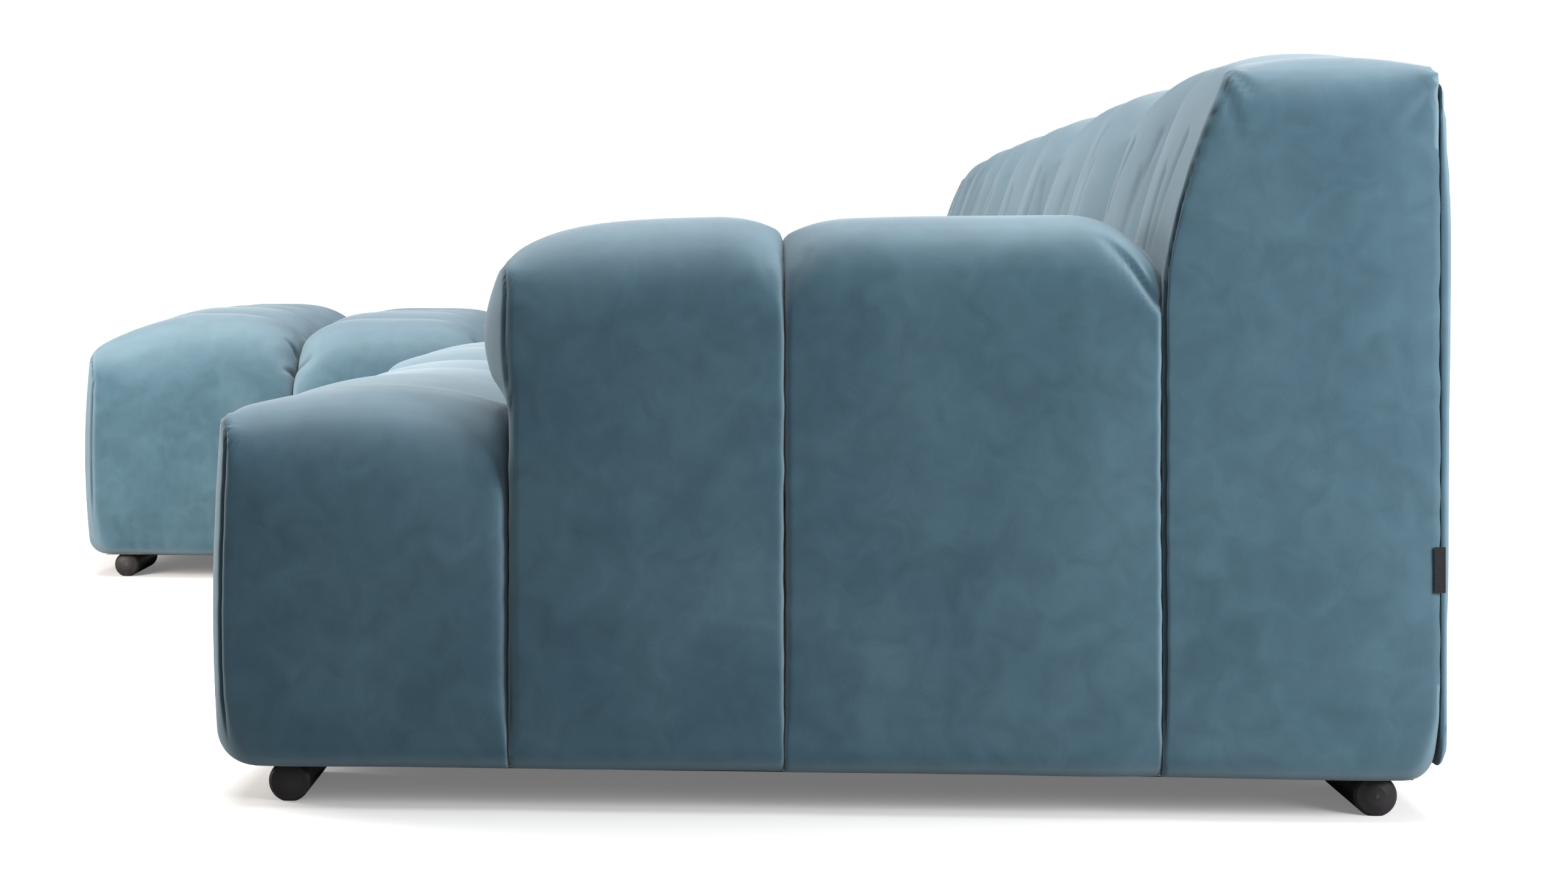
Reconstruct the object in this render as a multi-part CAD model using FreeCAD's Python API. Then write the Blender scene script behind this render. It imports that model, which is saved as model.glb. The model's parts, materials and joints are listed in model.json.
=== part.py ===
import FreeCAD, Part
import math
import os

# Corner lounge sofa: a seat module with one arm, and a chaise module that hooks on to its side.
# X runs along the sofa towards the arm, Y towards the backrest, Z up. The origin is on the floor, under
# the middle of the footprint. All sizes are in millimetres.

# Overall sizes
SOFA_WIDTH = 1890.0
CHAISE_WIDTH = 920.0
MODULE_GAP = 6.0
CHAISE_REACH = 616.0
SEAT_HEIGHT = 428.0
CHAISE_HEIGHT = 478.0
ARM_HEIGHT = 615.0
BACK_HEIGHT = 800.0

# Cushions, front to back
SEAT_FRONT_DEPTH = 304.0
ARM_SETBACK = 309.0
ARM_FRONT_LENGTH = 281.0
ARM_REAR_LENGTH = 378.0
ARM_GROOVE_GAP = 2.0
ARM_WIDTH = 300.0
BACK_DEPTH = 280.0
BACK_TOP_DEPTH = 216.0
BACK_SLOPE_START = 535.0
CHAISE_FRONT_ROW = 377.0
CHAISE_SECOND_ROW = 338.0
CUSHION_GAP = 4.0
REAR_COVER_THICKNESS = 14.0

# Cushion shape
SEAT_PUFFS = 3
CHAISE_PUFFS = 2
SEAT_CROWN = 26.0
CHAISE_CROWN = 64.0
BACK_CROWN = 14.0
ARM_CROWN = 10.0
ARM_SWELL = 7.0
FRONT_BELLY = 12.0
ARM_BULGE = 24.0
GROOVE_DROP = 24.0
END_DROP = 30.0
CHAISE_END_DROP = 64.0
BACK_END_DROP = 34.0
MIDDLE_DROP = 6.0
EDGE_WIDTH = 12.0
CHANNEL_DROP = 16.0
CHANNEL_FLAT = 0.28
ARM_NOSE_DROP = 45.0
ARM_GROOVE_DROP = 28.0
ARM_TAIL_DROP = 42.0
ARM_EASE = 40.0
LOW_FRONT_RADIUS = 36.0
LOW_REAR_RADIUS = 28.0
LOW_INNER_RADIUS = 12.0
TOP_RADIUS = 30.0
ARM_TOP_RADIUS = 78.0
BACK_BEND_RADIUS = 90.0
BACK_TOP_RADIUS = 26.0
BACK_REAR_RADIUS = 18.0
BACK_REAR_FALL = 8.0
BACK_SWELL = 7.0
COVER_MARGIN = 3.0
COVER_LOW_MARGIN = 14.0
COVER_TOP_MARGIN = 54.0

# Padding over the frame
FRONT_PAD = 40.0
SIDE_PAD = 26.0
REAR_PAD = 28.0
PAD_CLEARANCE = 0.5

# Base frame
RAIL_HEIGHT = 160.0
RAIL_THICKNESS = 25.0
CROSS_RAIL_DROP = 30.0
BLOCK_LENGTH = 170.0
BLOCK_DEPTH = 120.0
BLOCK_HEIGHT = 24.0
STRAP_WIDTH = 70.0
STRAP_PITCH = 112.0
STRAP_THICKNESS = 2.0
LINING_THICKNESS = 1.0

# Arm frame
PANEL_THICKNESS = 18.0
ARM_FRAME_TOP = 525.0
PLATE_THICKNESS = 3.0
PLATE_WIDTH = 60.0
PLATE_HEIGHT = 120.0
PANEL_MARGIN = 90.0
PANEL_CORNER = 30.0

# Back frame
UPRIGHT_WIDTH = 45.0
UPRIGHT_DEPTH = 45.0
UPRIGHT_LIFT = 40.0
BACK_FRAME_TOP = 650.0
TOP_RAIL_HEIGHT = 55.0
LOWER_RAIL_HEIGHT = 50.0
LOWER_RAIL_LIFT = 10.0
BACK_STRAP_WIDTH = 50.0
BACK_STRAP_PITCH = 135.0
FIBRE_BOARD = 3.0

# Feet and bolts
FOOT_DIAMETER = 44.0
FOOT_LENGTH = 165.0
FOOT_DOME = 3.5
FOOT_EDGE = 3.0
FOOT_FLAT = 1.0
FOOT_SEAT = 1.0
FOOT_INSET = 40.0
FOOT_MARGIN = 8.0
LINING_MARGIN = 5.0
FOOT_BOLT_SPREAD = 90.0
BOLT_DIAMETER = 8.0
BOLT_CLEARANCE = 0.3
BOLT_HEAD_WIDTH = 13.0
BOLT_HEAD_HEIGHT = 5.3
FOOT_BOLT_DEPTH = 22.0

# Connectors
HOOK_WIDTH = 56.0
HOOK_LENGTH = 38.0
HOOK_THICKNESS = 3.0
POCKET_HEIGHT = 40.0
POCKET_LIFT = 30.0
POCKET_PLAY = 0.8
FLANGE_WIDTH = 20.0
NOTCH_MARGIN = 12.0

# Side label
LABEL_HEIGHT = 46.0
LABEL_WIDTH = 11.0
LABEL_THICKNESS = 0.8
LABEL_LEVEL = 234.0

# Places that follow from the sizes
UNDERSIDE = FOOT_DIAMETER - FOOT_FLAT - FOOT_SEAT
HEM_HEIGHT = UNDERSIDE - LINING_THICKNESS
FRONT_FOOT_SETBACK = FRONT_PAD + RAIL_THICKNESS + FOOT_MARGIN
REAR_FOOT_SETBACK = REAR_PAD + RAIL_THICKNESS + FOOT_MARGIN
TOTAL_WIDTH = SOFA_WIDTH + MODULE_GAP + CHAISE_WIDTH
RIGHT = TOTAL_WIDTH / 2
LEFT = -TOTAL_WIDTH / 2
SOFA_LEFT = RIGHT - SOFA_WIDTH
CHAISE_RIGHT = LEFT + CHAISE_WIDTH
ARM_INNER = RIGHT - ARM_WIDTH
ARM_LENGTH = ARM_FRONT_LENGTH + ARM_GROOVE_GAP + ARM_REAR_LENGTH
SOFA_DEPTH = ARM_SETBACK + ARM_LENGTH + CUSHION_GAP + BACK_DEPTH
TOTAL_DEPTH = SOFA_DEPTH + CHAISE_REACH
REAR = TOTAL_DEPTH / 2
CHAISE_FRONT = -TOTAL_DEPTH / 2
SOFA_FRONT = REAR - SOFA_DEPTH
ARM_FRONT = SOFA_FRONT + ARM_SETBACK
ARM_SPLIT = ARM_FRONT + ARM_FRONT_LENGTH
BACK_FRONT = REAR - BACK_DEPTH
FRAME_REAR = REAR - REAR_PAD
FRAME_TOP = UNDERSIDE + RAIL_HEIGHT
DECK_TOP = FRAME_TOP + STRAP_THICKNESS
UPRIGHT_FRONT = FRAME_REAR - RAIL_THICKNESS - UPRIGHT_DEPTH
UPRIGHT_REAR = FRAME_REAR - RAIL_THICKNESS
TOP_RAIL_TOP = BACK_FRAME_TOP + TOP_RAIL_HEIGHT
DECK_RAIL_FRONT = BACK_FRONT + SIDE_PAD
PUFF_WIDTH = SOFA_WIDTH / SEAT_PUFFS


def save(name, solids):
    """Write one sub-part."""
    shape = solids[0] if len(solids) == 1 else Part.makeCompound(solids)
    shape.exportStep("parts/" + name + ".step")


def block(x_range, y_range, z_range):
    """A straight-sided piece between three pairs of faces."""
    corner = FreeCAD.Vector(x_range[0], y_range[0], z_range[0])
    width = x_range[1] - x_range[0]
    depth = y_range[1] - y_range[0]
    height = z_range[1] - z_range[0]
    return Part.makeBox(width, depth, height, corner)


def rod(diameter, start, end):
    """A round bar between two points."""
    axis = end - start
    return Part.makeCylinder(diameter / 2, axis.Length, start, axis)


def prism(points, direction):
    """A flat outline pushed straight along a direction."""
    wire = Part.makePolygon(points + [points[0]])
    return Part.Face(wire).extrude(direction)


# Cushion outlines

def unit(start, end):
    length = math.hypot(end[0] - start[0], end[1] - start[1])
    return ((end[0] - start[0]) / length, (end[1] - start[1]) / length)


def outline(corners, radii, sags, place):
    """A closed outline with a rounded corner at each point and a swell on each edge between them."""
    count = len(corners)
    rounds = []
    for index in range(count):
        corner = corners[index]
        ahead = unit(corner, corners[(index + 1) % count])
        behind = unit(corner, corners[index - 1])
        half = math.acos(ahead[0] * behind[0] + ahead[1] * behind[1]) / 2
        reach = radii[index] / math.tan(half)
        middle = (ahead[0] + behind[0], ahead[1] + behind[1])
        length = math.hypot(middle[0], middle[1])
        inset = radii[index] / math.sin(half) - radii[index]
        rounds.append((
            (corner[0] + behind[0] * reach, corner[1] + behind[1] * reach),
            (corner[0] + middle[0] / length * inset, corner[1] + middle[1] / length * inset),
            (corner[0] + ahead[0] * reach, corner[1] + ahead[1] * reach),
        ))
    edges = []
    for index in range(count):
        start, middle, end = rounds[index]
        edges.append(Part.Arc(place(*start), place(*middle), place(*end)).toShape())
        target = rounds[(index + 1) % count][0]
        sag = sags[index]
        if sag == 0:
            edges.append(Part.LineSegment(place(*end), place(*target)).toShape())
            continue
        along = unit(end, target)
        top = ((end[0] + target[0]) / 2 - along[1] * sag, (end[1] + target[1]) / 2 + along[0] * sag)
        edges.append(Part.Arc(place(*end), place(*top), place(*target)).toShape())
    return Part.Wire(edges)


def across(x):
    """Places an outline drawn in depth and height on the plane at one length."""
    return lambda depth, height: FreeCAD.Vector(x, depth, height)


def along_depth(y):
    """Places an outline drawn in length and height on the plane at one depth."""
    return lambda length, height: FreeCAD.Vector(length, y, height)


def seat_outline(x, front, rear, height, crown, drop, belly, low_front):
    """Section of a seat cushion, looking along its length."""
    top = height - crown - 0.3 * drop
    face = front + belly + 0.4 * drop
    corners = [(face, HEM_HEIGHT), (face, top), (rear, top), (rear, HEM_HEIGHT)]
    radii = [low_front, TOP_RADIUS, TOP_RADIUS, LOW_REAR_RADIUS]
    sags = [belly, crown - 0.7 * drop, 0, 0]
    return outline(corners, radii, sags, across(x))


def back_outline(x, drop):
    """Section of a backrest cushion: upright below, sloping back above the arm, crowned on top."""
    rear = REAR - REAR_COVER_THICKNESS
    top = BACK_HEIGHT - BACK_CROWN - 0.7 * drop
    face = BACK_FRONT + 0.3 * drop
    corners = [(face, HEM_HEIGHT), (face, BACK_SLOPE_START), (REAR - BACK_TOP_DEPTH + 0.3 * drop, top),
               (rear, top - BACK_REAR_FALL), (rear, HEM_HEIGHT)]
    radii = [LOW_INNER_RADIUS, BACK_BEND_RADIUS, BACK_TOP_RADIUS, BACK_REAR_RADIUS, LOW_REAR_RADIUS]
    sags = [0, BACK_SWELL, BACK_CROWN - 0.3 * drop, 0, 0]
    return outline(corners, radii, sags, across(x))


def arm_outline(y, drop):
    """Section of an arm cushion, looking along its depth."""
    top = ARM_HEIGHT - ARM_CROWN - drop
    face = RIGHT - ARM_SWELL - 0.2 * drop
    corners = [(ARM_INNER, HEM_HEIGHT), (ARM_INNER, top), (face, top), (face, HEM_HEIGHT)]
    radii = [LOW_INNER_RADIUS, ARM_TOP_RADIUS, ARM_TOP_RADIUS, LOW_INNER_RADIUS]
    sags = [0, ARM_CROWN, ARM_SWELL, 0]
    return outline(corners, radii, sags, along_depth(y))


def arm_drops(length, start_drop, end_drop):
    """Positions along an arm cushion, each with how far its top falls there."""
    stops = [(0, start_drop), (0.3 * ARM_EASE, 0.7 * start_drop), (ARM_EASE, 0.4 * start_drop),
             (2 * ARM_EASE, 0.2 * start_drop), (length / 2, 0), (length - 2 * ARM_EASE, 0.15 * end_drop)]
    return stops + [(length - ARM_EASE, 0.3 * end_drop), (length - 0.3 * ARM_EASE, 0.6 * end_drop),
                    (length, end_drop)]


def arm_bulge():
    """The soft front of the arm above the seat, swelling forward."""
    band = ARM_HEIGHT - SEAT_HEIGHT
    sections = []
    for reach, share in ((0, 0.25), (0.65 * ARM_BULGE, 0.32), (ARM_BULGE, 0.42)):
        inset = share * band
        low = SEAT_HEIGHT + inset / 2
        top = ARM_HEIGHT - inset
        inner = ARM_INNER + inset
        outer = RIGHT - inset
        corners = [(inner, low), (inner, top), (outer, top), (outer, low)]
        radii = [0.05 * band, 0.15 * band, 0.15 * band, 0.05 * band]
        sections.append(outline(corners, radii, [0, 0, 0, 0], along_depth(ARM_FRONT - reach)))
    return loft(sections)


def puff_drops(start, end, start_drop, end_drop, channels, groove):
    """Positions across a cushion, each with how far the cover is drawn in there."""
    pitch = (end - start) / channels
    stops = [(start, start_drop), (start + EDGE_WIDTH, 0.4 * start_drop)]
    for index in range(channels):
        left = start + index * pitch
        stops += [(left + CHANNEL_FLAT * pitch, 0), (left + (1 - CHANNEL_FLAT) * pitch, 0)]
        if index < channels - 1:
            stops.append((left + pitch, groove))
    return stops + [(end - EDGE_WIDTH, 0.4 * end_drop), (end, end_drop)]


def loft(sections):
    """A closed form through outlines that follow one another."""
    return Part.makeLoft(sections, True, True)


# Hollows that the frames stand in

def base_hollow(x_range, y_front):
    """Room for a base frame with its straps, open below."""
    lengths = (x_range[0] - PAD_CLEARANCE, x_range[1] + PAD_CLEARANCE)
    depths = (y_front - PAD_CLEARANCE, FRAME_REAR + PAD_CLEARANCE)
    return block(lengths, depths, (0, DECK_TOP + PAD_CLEARANCE))


def back_hollow(x_range):
    """Room for a back frame with its straps and its fibre board."""
    lengths = (x_range[0] - PAD_CLEARANCE, x_range[1] + PAD_CLEARANCE)
    depths = (UPRIGHT_FRONT - STRAP_THICKNESS - PAD_CLEARANCE, UPRIGHT_REAR + FIBRE_BOARD + PAD_CLEARANCE)
    return block(lengths, depths, (0, TOP_RAIL_TOP + PAD_CLEARANCE))


def arm_hollow():
    """Room for the arm frame."""
    lengths = (ARM_INNER + SIDE_PAD - PAD_CLEARANCE, RIGHT - SIDE_PAD + PAD_CLEARANCE)
    depths = (ARM_FRONT + FRONT_PAD - PAD_CLEARANCE, ARM_FRONT + ARM_LENGTH - SIDE_PAD + PAD_CLEARANCE)
    return block(lengths, depths, (0, ARM_FRAME_TOP + PANEL_THICKNESS + PAD_CLEARANCE))


SOFA_FRAME_X = (SOFA_LEFT + SIDE_PAD, RIGHT - SIDE_PAD)
CHAISE_FRAME_X = (LEFT + SIDE_PAD, CHAISE_RIGHT - SIDE_PAD)
SOFA_FRAME_FRONT = SOFA_FRONT + FRONT_PAD
CHAISE_FRAME_FRONT = CHAISE_FRONT + FRONT_PAD


# Seat module cushions

def seat_cushion(start, end, front, rear, start_drop, end_drop, belly, low_front):
    stops = puff_drops(start, end, start_drop, end_drop, 2, MIDDLE_DROP)
    sections = []
    for x, drop in stops:
        sections.append(seat_outline(x, front, rear, SEAT_HEIGHT, SEAT_CROWN, drop, belly, low_front))
    hollow = base_hollow((SOFA_LEFT - SIDE_PAD, SOFA_FRAME_X[1]), SOFA_FRAME_FRONT)
    return loft(sections).cut(hollow)


def make_seat():
    sides = ("left", "middle", "right")
    for index, side in enumerate(sides):
        start = SOFA_LEFT + index * PUFF_WIDTH + CUSHION_GAP / 4
        end = SOFA_LEFT + (index + 1) * PUFF_WIDTH - CUSHION_GAP / 4
        is_end = index == SEAT_PUFFS - 1
        front_end = RIGHT if is_end else end
        front_drop = END_DROP if is_end else GROOVE_DROP
        front_block = seat_cushion(start, front_end, SOFA_FRONT, SOFA_FRONT + SEAT_FRONT_DEPTH,
                                   GROOVE_DROP, front_drop, FRONT_BELLY, LOW_FRONT_RADIUS)
        save("seat_front_block_" + side, [front_block])
        rear_end = ARM_INNER - CUSHION_GAP if is_end else end
        pad = seat_cushion(start, rear_end, SOFA_FRONT + SEAT_FRONT_DEPTH + CUSHION_GAP,
                           BACK_FRONT - CUSHION_GAP, GROOVE_DROP, GROOVE_DROP, 0, LOW_REAR_RADIUS)
        save("seat_pad_" + side, [pad])


def make_arm_cushions():
    front_stops = arm_drops(ARM_FRONT_LENGTH, ARM_NOSE_DROP, ARM_GROOVE_DROP)
    front = loft([arm_outline(ARM_FRONT + y, drop) for y, drop in front_stops])
    front = front.fuse(arm_bulge())
    rear_start = ARM_SPLIT + ARM_GROOVE_GAP
    rear_stops = arm_drops(ARM_REAR_LENGTH, ARM_GROOVE_DROP, ARM_TAIL_DROP)
    rear = loft([arm_outline(rear_start + y, drop) for y, drop in rear_stops])
    base = base_hollow((SOFA_LEFT, SOFA_FRAME_X[1]), SOFA_FRAME_FRONT)
    hollow = arm_hollow().fuse(base)
    save("arm_pad_front", [front.cut(hollow)])
    save("arm_pad_rear", [rear.cut(hollow)])


def back_cushion(start, end, start_drop, end_drop, hollows):
    stops = puff_drops(start, end, start_drop, end_drop, 2, MIDDLE_DROP)
    cushion = loft([back_outline(x, drop) for x, drop in stops])
    for hollow in hollows:
        cushion = cushion.cut(hollow)
    return cushion


def make_sofa_back():
    x_range = (SOFA_LEFT - SIDE_PAD, SOFA_FRAME_X[1])
    hollows = [base_hollow(x_range, SOFA_FRAME_FRONT), back_hollow(x_range)]
    for index, side in enumerate(("left", "middle", "right")):
        start = SOFA_LEFT + index * PUFF_WIDTH + CUSHION_GAP / 4
        end = SOFA_LEFT + (index + 1) * PUFF_WIDTH - CUSHION_GAP / 4
        is_end = index == SEAT_PUFFS - 1
        end = RIGHT if is_end else end
        end_drop = BACK_END_DROP if is_end else GROOVE_DROP
        save("sofa_back_pad_" + side, [back_cushion(start, end, GROOVE_DROP, end_drop, hollows)])


# Chaise cushions

def chaise_rows():
    """Front and rear edge of each row of chaise pads."""
    room = BACK_FRONT - CUSHION_GAP - CHAISE_FRONT - CHAISE_FRONT_ROW - CHAISE_SECOND_ROW
    back_row = room / 2
    edges = []
    start = CHAISE_FRONT
    for length in (CHAISE_FRONT_ROW, CHAISE_SECOND_ROW, back_row, back_row):
        edges.append((start, start + length - CUSHION_GAP / 2))
        start += length
    return edges


def connector_places():
    """Depths of the two connectors, at the middle of the two rows beside the seat module."""
    rows = chaise_rows()
    return [(rows[2][0] + rows[2][1]) / 2, (rows[3][0] + rows[3][1]) / 2]


def make_chaise_seat():
    hollow = base_hollow(CHAISE_FRAME_X, CHAISE_FRAME_FRONT)
    for index, (front, rear) in enumerate(chaise_rows()):
        belly = 2 * FRONT_BELLY if index == 0 else 0
        low_front = LOW_FRONT_RADIUS if index == 0 else LOW_REAR_RADIUS
        stops = puff_drops(LEFT, CHAISE_RIGHT, CHAISE_END_DROP, CHAISE_END_DROP,
                           2 * CHAISE_PUFFS, CHANNEL_DROP)
        sections = []
        for x, drop in stops:
            section = seat_outline(x, front, rear, CHAISE_HEIGHT, CHAISE_CROWN, drop, belly, low_front)
            sections.append(section)
        pad = loft(sections).cut(hollow)
        for place in connector_places():
            pad = pad.cut(hook_notch(place))
        save("chaise_pad_row_" + str(index + 1), [pad])


def make_chaise_back():
    hollows = [base_hollow(CHAISE_FRAME_X, CHAISE_FRAME_FRONT), back_hollow(CHAISE_FRAME_X)]
    width = CHAISE_WIDTH / CHAISE_PUFFS
    for index, side in enumerate(("left", "right")):
        start = LEFT + index * width + (CUSHION_GAP / 4 if index else 0)
        end = LEFT + (index + 1) * width - (0 if index else CUSHION_GAP / 4)
        start_drop = GROOVE_DROP if index else BACK_END_DROP
        save("chaise_back_pad_" + side, [back_cushion(start, end, start_drop, GROOVE_DROP, hollows)])


def make_rear_cover(module, x_range):
    """Padded panel behind the backrest, sewn to the end panels."""
    front = REAR - REAR_COVER_THICKNESS + PAD_CLEARANCE
    lengths = (x_range[0] + COVER_MARGIN, x_range[1] - COVER_MARGIN)
    heights = (HEM_HEIGHT + COVER_LOW_MARGIN, BACK_HEIGHT - COVER_TOP_MARGIN)
    cover = block(lengths, (front, REAR), heights)
    rear_edges = [edge for edge in cover.Edges if min(v.Y for v in edge.Vertexes) > REAR - 0.01]
    cover = cover.makeFillet(REAR_COVER_THICKNESS * 0.7, rear_edges)
    save(module + "_rear_cover", [cover])


# Base frames

def foot_places(x_range, y_front):
    """Middle of each foot, and the side of its module that it stands at."""
    reach = FOOT_INSET + FOOT_LENGTH / 2
    places = []
    for x in (x_range[0] + reach, x_range[1] - reach):
        for y in (y_front + FRONT_FOOT_SETBACK, REAR - REAR_FOOT_SETBACK):
            places.append((x, y))
    return places


def foot_bolt_places(place):
    return [(place[0] + side * FOOT_BOLT_SPREAD / 2, place[1]) for side in (-1, 1)]


def foot(place):
    """Round bar lying along the sofa: domed ends, a flat under the frame and a small one on the floor."""
    half = FOOT_LENGTH / 2
    radius = FOOT_DIAMETER / 2
    edge = radius - FOOT_EDGE
    steps = [(-half, 0), (-half + FOOT_DOME / 4, edge / 2), (-half + FOOT_DOME, edge),
             (-half + FOOT_DOME + FOOT_EDGE, radius)]
    steps += [(-x, y) for x, y in reversed(steps)]
    profile = Part.makePolygon([FreeCAD.Vector(x, 0, y) for x, y in steps + steps[:1]])
    bar = Part.Face(profile).revolve(FreeCAD.Vector(), FreeCAD.Vector(1, 0, 0), 360)
    bar.translate(FreeCAD.Vector(place[0], place[1], radius - FOOT_FLAT))
    room = block((place[0] - half, place[0] + half), (place[1] - radius, place[1] + radius), (0, UNDERSIDE))
    bar = bar.common(room)
    for x, y in foot_bolt_places(place):
        bottom = FreeCAD.Vector(x, y, UNDERSIDE - FOOT_BOLT_DEPTH - 1)
        bar = bar.cut(rod(BOLT_DIAMETER + 2 * BOLT_CLEARANCE, bottom, FreeCAD.Vector(x, y, UNDERSIDE + 1)))
    return bar


def hex_bolt(head, tip):
    """Hexagon-head bolt from the underside of its head to its tip."""
    direction = (tip - head).normalize()
    side = direction.cross(FreeCAD.Vector(1, 0, 0)).normalize()
    other = direction.cross(side)
    radius = BOLT_HEAD_WIDTH / math.sqrt(3)
    points = []
    for step in range(6):
        angle = math.radians(60 * step)
        points.append(head + side * radius * math.cos(angle) + other * radius * math.sin(angle))
    cap = prism(points, direction * -BOLT_HEAD_HEIGHT)
    return cap.fuse(rod(BOLT_DIAMETER, head, tip)).removeSplitter()


def make_feet(module, places):
    save(module + "_feet", [foot(place) for place in places])
    bolts = []
    for place in places:
        for x, y in foot_bolt_places(place):
            head = FreeCAD.Vector(x, y, UNDERSIDE + BLOCK_HEIGHT)
            bolts.append(hex_bolt(head, FreeCAD.Vector(x, y, UNDERSIDE - FOOT_BOLT_DEPTH)))
    save(module + "_foot_bolts", bolts)


def make_corner_blocks(module, x_range, y_front, places):
    """Bolting blocks in the corners of the base frame, each with its free corner cut off."""
    blocks = []
    cut = BLOCK_DEPTH / 3
    for place in places:
        at_right = place[0] > (x_range[0] + x_range[1]) / 2
        at_rear = place[1] > (y_front + FRAME_REAR) / 2
        x = x_range[1] - RAIL_THICKNESS if at_right else x_range[0] + RAIL_THICKNESS
        y = FRAME_REAR - RAIL_THICKNESS if at_rear else y_front + RAIL_THICKNESS
        inward = -1 if at_right else 1
        forward = -1 if at_rear else 1
        steps = [(0, 0), (BLOCK_LENGTH, 0), (BLOCK_LENGTH, BLOCK_DEPTH - cut),
                 (BLOCK_LENGTH - cut, BLOCK_DEPTH), (0, BLOCK_DEPTH)]
        points = [FreeCAD.Vector(x + inward * dx, y + forward * dy, UNDERSIDE) for dx, dy in steps]
        piece = prism(points, FreeCAD.Vector(0, 0, BLOCK_HEIGHT))
        for bolt_x, bolt_y in foot_bolt_places(place):
            low = FreeCAD.Vector(bolt_x, bolt_y, UNDERSIDE - 1)
            high = FreeCAD.Vector(bolt_x, bolt_y, UNDERSIDE + BLOCK_HEIGHT + 1)
            piece = piece.cut(rod(BOLT_DIAMETER + 2 * BOLT_CLEARANCE, low, high))
        blocks.append(piece)
    save(module + "_corner_blocks", blocks)


def make_base_frame(module, x_range, y_front):
    """End rails with the front, deck and rear rails between them."""
    heights = (UNDERSIDE, FRAME_TOP)
    inner = (x_range[0] + RAIL_THICKNESS, x_range[1] - RAIL_THICKNESS)
    depths = (y_front, FRAME_REAR)
    left_rail = block((x_range[0], inner[0]), depths, heights)
    right_rail = block((inner[1], x_range[1]), depths, heights)
    save(module + "_end_rails", [left_rail, right_rail])
    save(module + "_front_rail", [block(inner, (y_front, y_front + RAIL_THICKNESS), heights)])
    deck_depths = (DECK_RAIL_FRONT, DECK_RAIL_FRONT + RAIL_THICKNESS)
    save(module + "_deck_rail", [block(inner, deck_depths, heights)])
    save(module + "_rear_rail", [block(inner, (FRAME_REAR - RAIL_THICKNESS, FRAME_REAR), heights)])


def make_cross_rails(module, places, y_front):
    """Rails under the straps, between the front rail and the deck rail, with a hand hole each."""
    rails = []
    front = y_front + RAIL_THICKNESS
    middle = (front + DECK_RAIL_FRONT) / 2
    level = UNDERSIDE + (RAIL_HEIGHT - CROSS_RAIL_DROP) / 2
    for x in places:
        lengths = (x - RAIL_THICKNESS / 2, x + RAIL_THICKNESS / 2)
        rail = block(lengths, (front, DECK_RAIL_FRONT), (UNDERSIDE, FRAME_TOP - CROSS_RAIL_DROP))
        hole = rod(RAIL_HEIGHT / 3, FreeCAD.Vector(lengths[0] - 1, middle, level),
                   FreeCAD.Vector(lengths[1] + 1, middle, level))
        rails.append(rail.cut(hole))
    save(module + "_cross_rails", rails)


def make_straps(module, x_range, y_front):
    """Elastic straps over the base frame, from the front rail to the deck rail."""
    count = max(2, int((x_range[1] - x_range[0]) / STRAP_PITCH))
    pitch = (x_range[1] - x_range[0]) / count
    straps = []
    for index in range(count):
        x = x_range[0] + (index + 0.5) * pitch
        lengths = (x - STRAP_WIDTH / 2, x + STRAP_WIDTH / 2)
        straps.append(block(lengths, (y_front, DECK_RAIL_FRONT + RAIL_THICKNESS), (FRAME_TOP, DECK_TOP)))
    save(module + "_seat_straps", straps)


def make_lining(module, x_range, y_front, places):
    """Dust cover under the frame, cut out round the feet."""
    sheet = block(x_range, (y_front, FRAME_REAR), (UNDERSIDE - LINING_THICKNESS, UNDERSIDE))
    for x, y in places:
        half_length = FOOT_LENGTH / 2 + LINING_MARGIN
        half_depth = FOOT_DIAMETER / 2 + LINING_MARGIN
        lengths = (x - half_length, x + half_length)
        sheet = sheet.cut(block(lengths, (y - half_depth, y + half_depth), (0, UNDERSIDE + 1)))
    save(module + "_dust_cover", [sheet])


# Back frames

def make_back_frame(module, x_range, places):
    """Uprights glued to the rear rail, a top rail on them, lower rails between them, straps and a board."""
    uprights = []
    for x in places:
        lengths = (x - UPRIGHT_WIDTH / 2, x + UPRIGHT_WIDTH / 2)
        heights = (UNDERSIDE + UPRIGHT_LIFT, BACK_FRAME_TOP)
        uprights.append(block(lengths, (UPRIGHT_FRONT, UPRIGHT_REAR), heights))
    save(module + "_back_uprights", uprights)
    depths = (UPRIGHT_FRONT, UPRIGHT_REAR)
    save(module + "_back_top_rail", [block(x_range, depths, (BACK_FRAME_TOP, TOP_RAIL_TOP))])
    low = (DECK_TOP + LOWER_RAIL_LIFT, DECK_TOP + LOWER_RAIL_LIFT + LOWER_RAIL_HEIGHT)
    rails = []
    straps = []
    for left, right in zip(places[:-1], places[1:]):
        span = (left + UPRIGHT_WIDTH / 2, right - UPRIGHT_WIDTH / 2)
        rails.append(block(span, (UPRIGHT_FRONT, UPRIGHT_FRONT + RAIL_THICKNESS), low))
        count = max(1, int((span[1] - span[0]) / BACK_STRAP_PITCH))
        pitch = (span[1] - span[0]) / count
        for index in range(count):
            x = span[0] + (index + 0.5) * pitch
            lengths = (x - BACK_STRAP_WIDTH / 2, x + BACK_STRAP_WIDTH / 2)
            faces = (UPRIGHT_FRONT - STRAP_THICKNESS, UPRIGHT_FRONT)
            straps.append(block(lengths, faces, (low[0], TOP_RAIL_TOP)))
    save(module + "_back_lower_rails", rails)
    save(module + "_back_straps", straps)
    board = block(x_range, (UPRIGHT_REAR, UPRIGHT_REAR + FIBRE_BOARD), (FRAME_TOP, TOP_RAIL_TOP))
    save(module + "_back_board", [board])


# Arm frame

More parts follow.
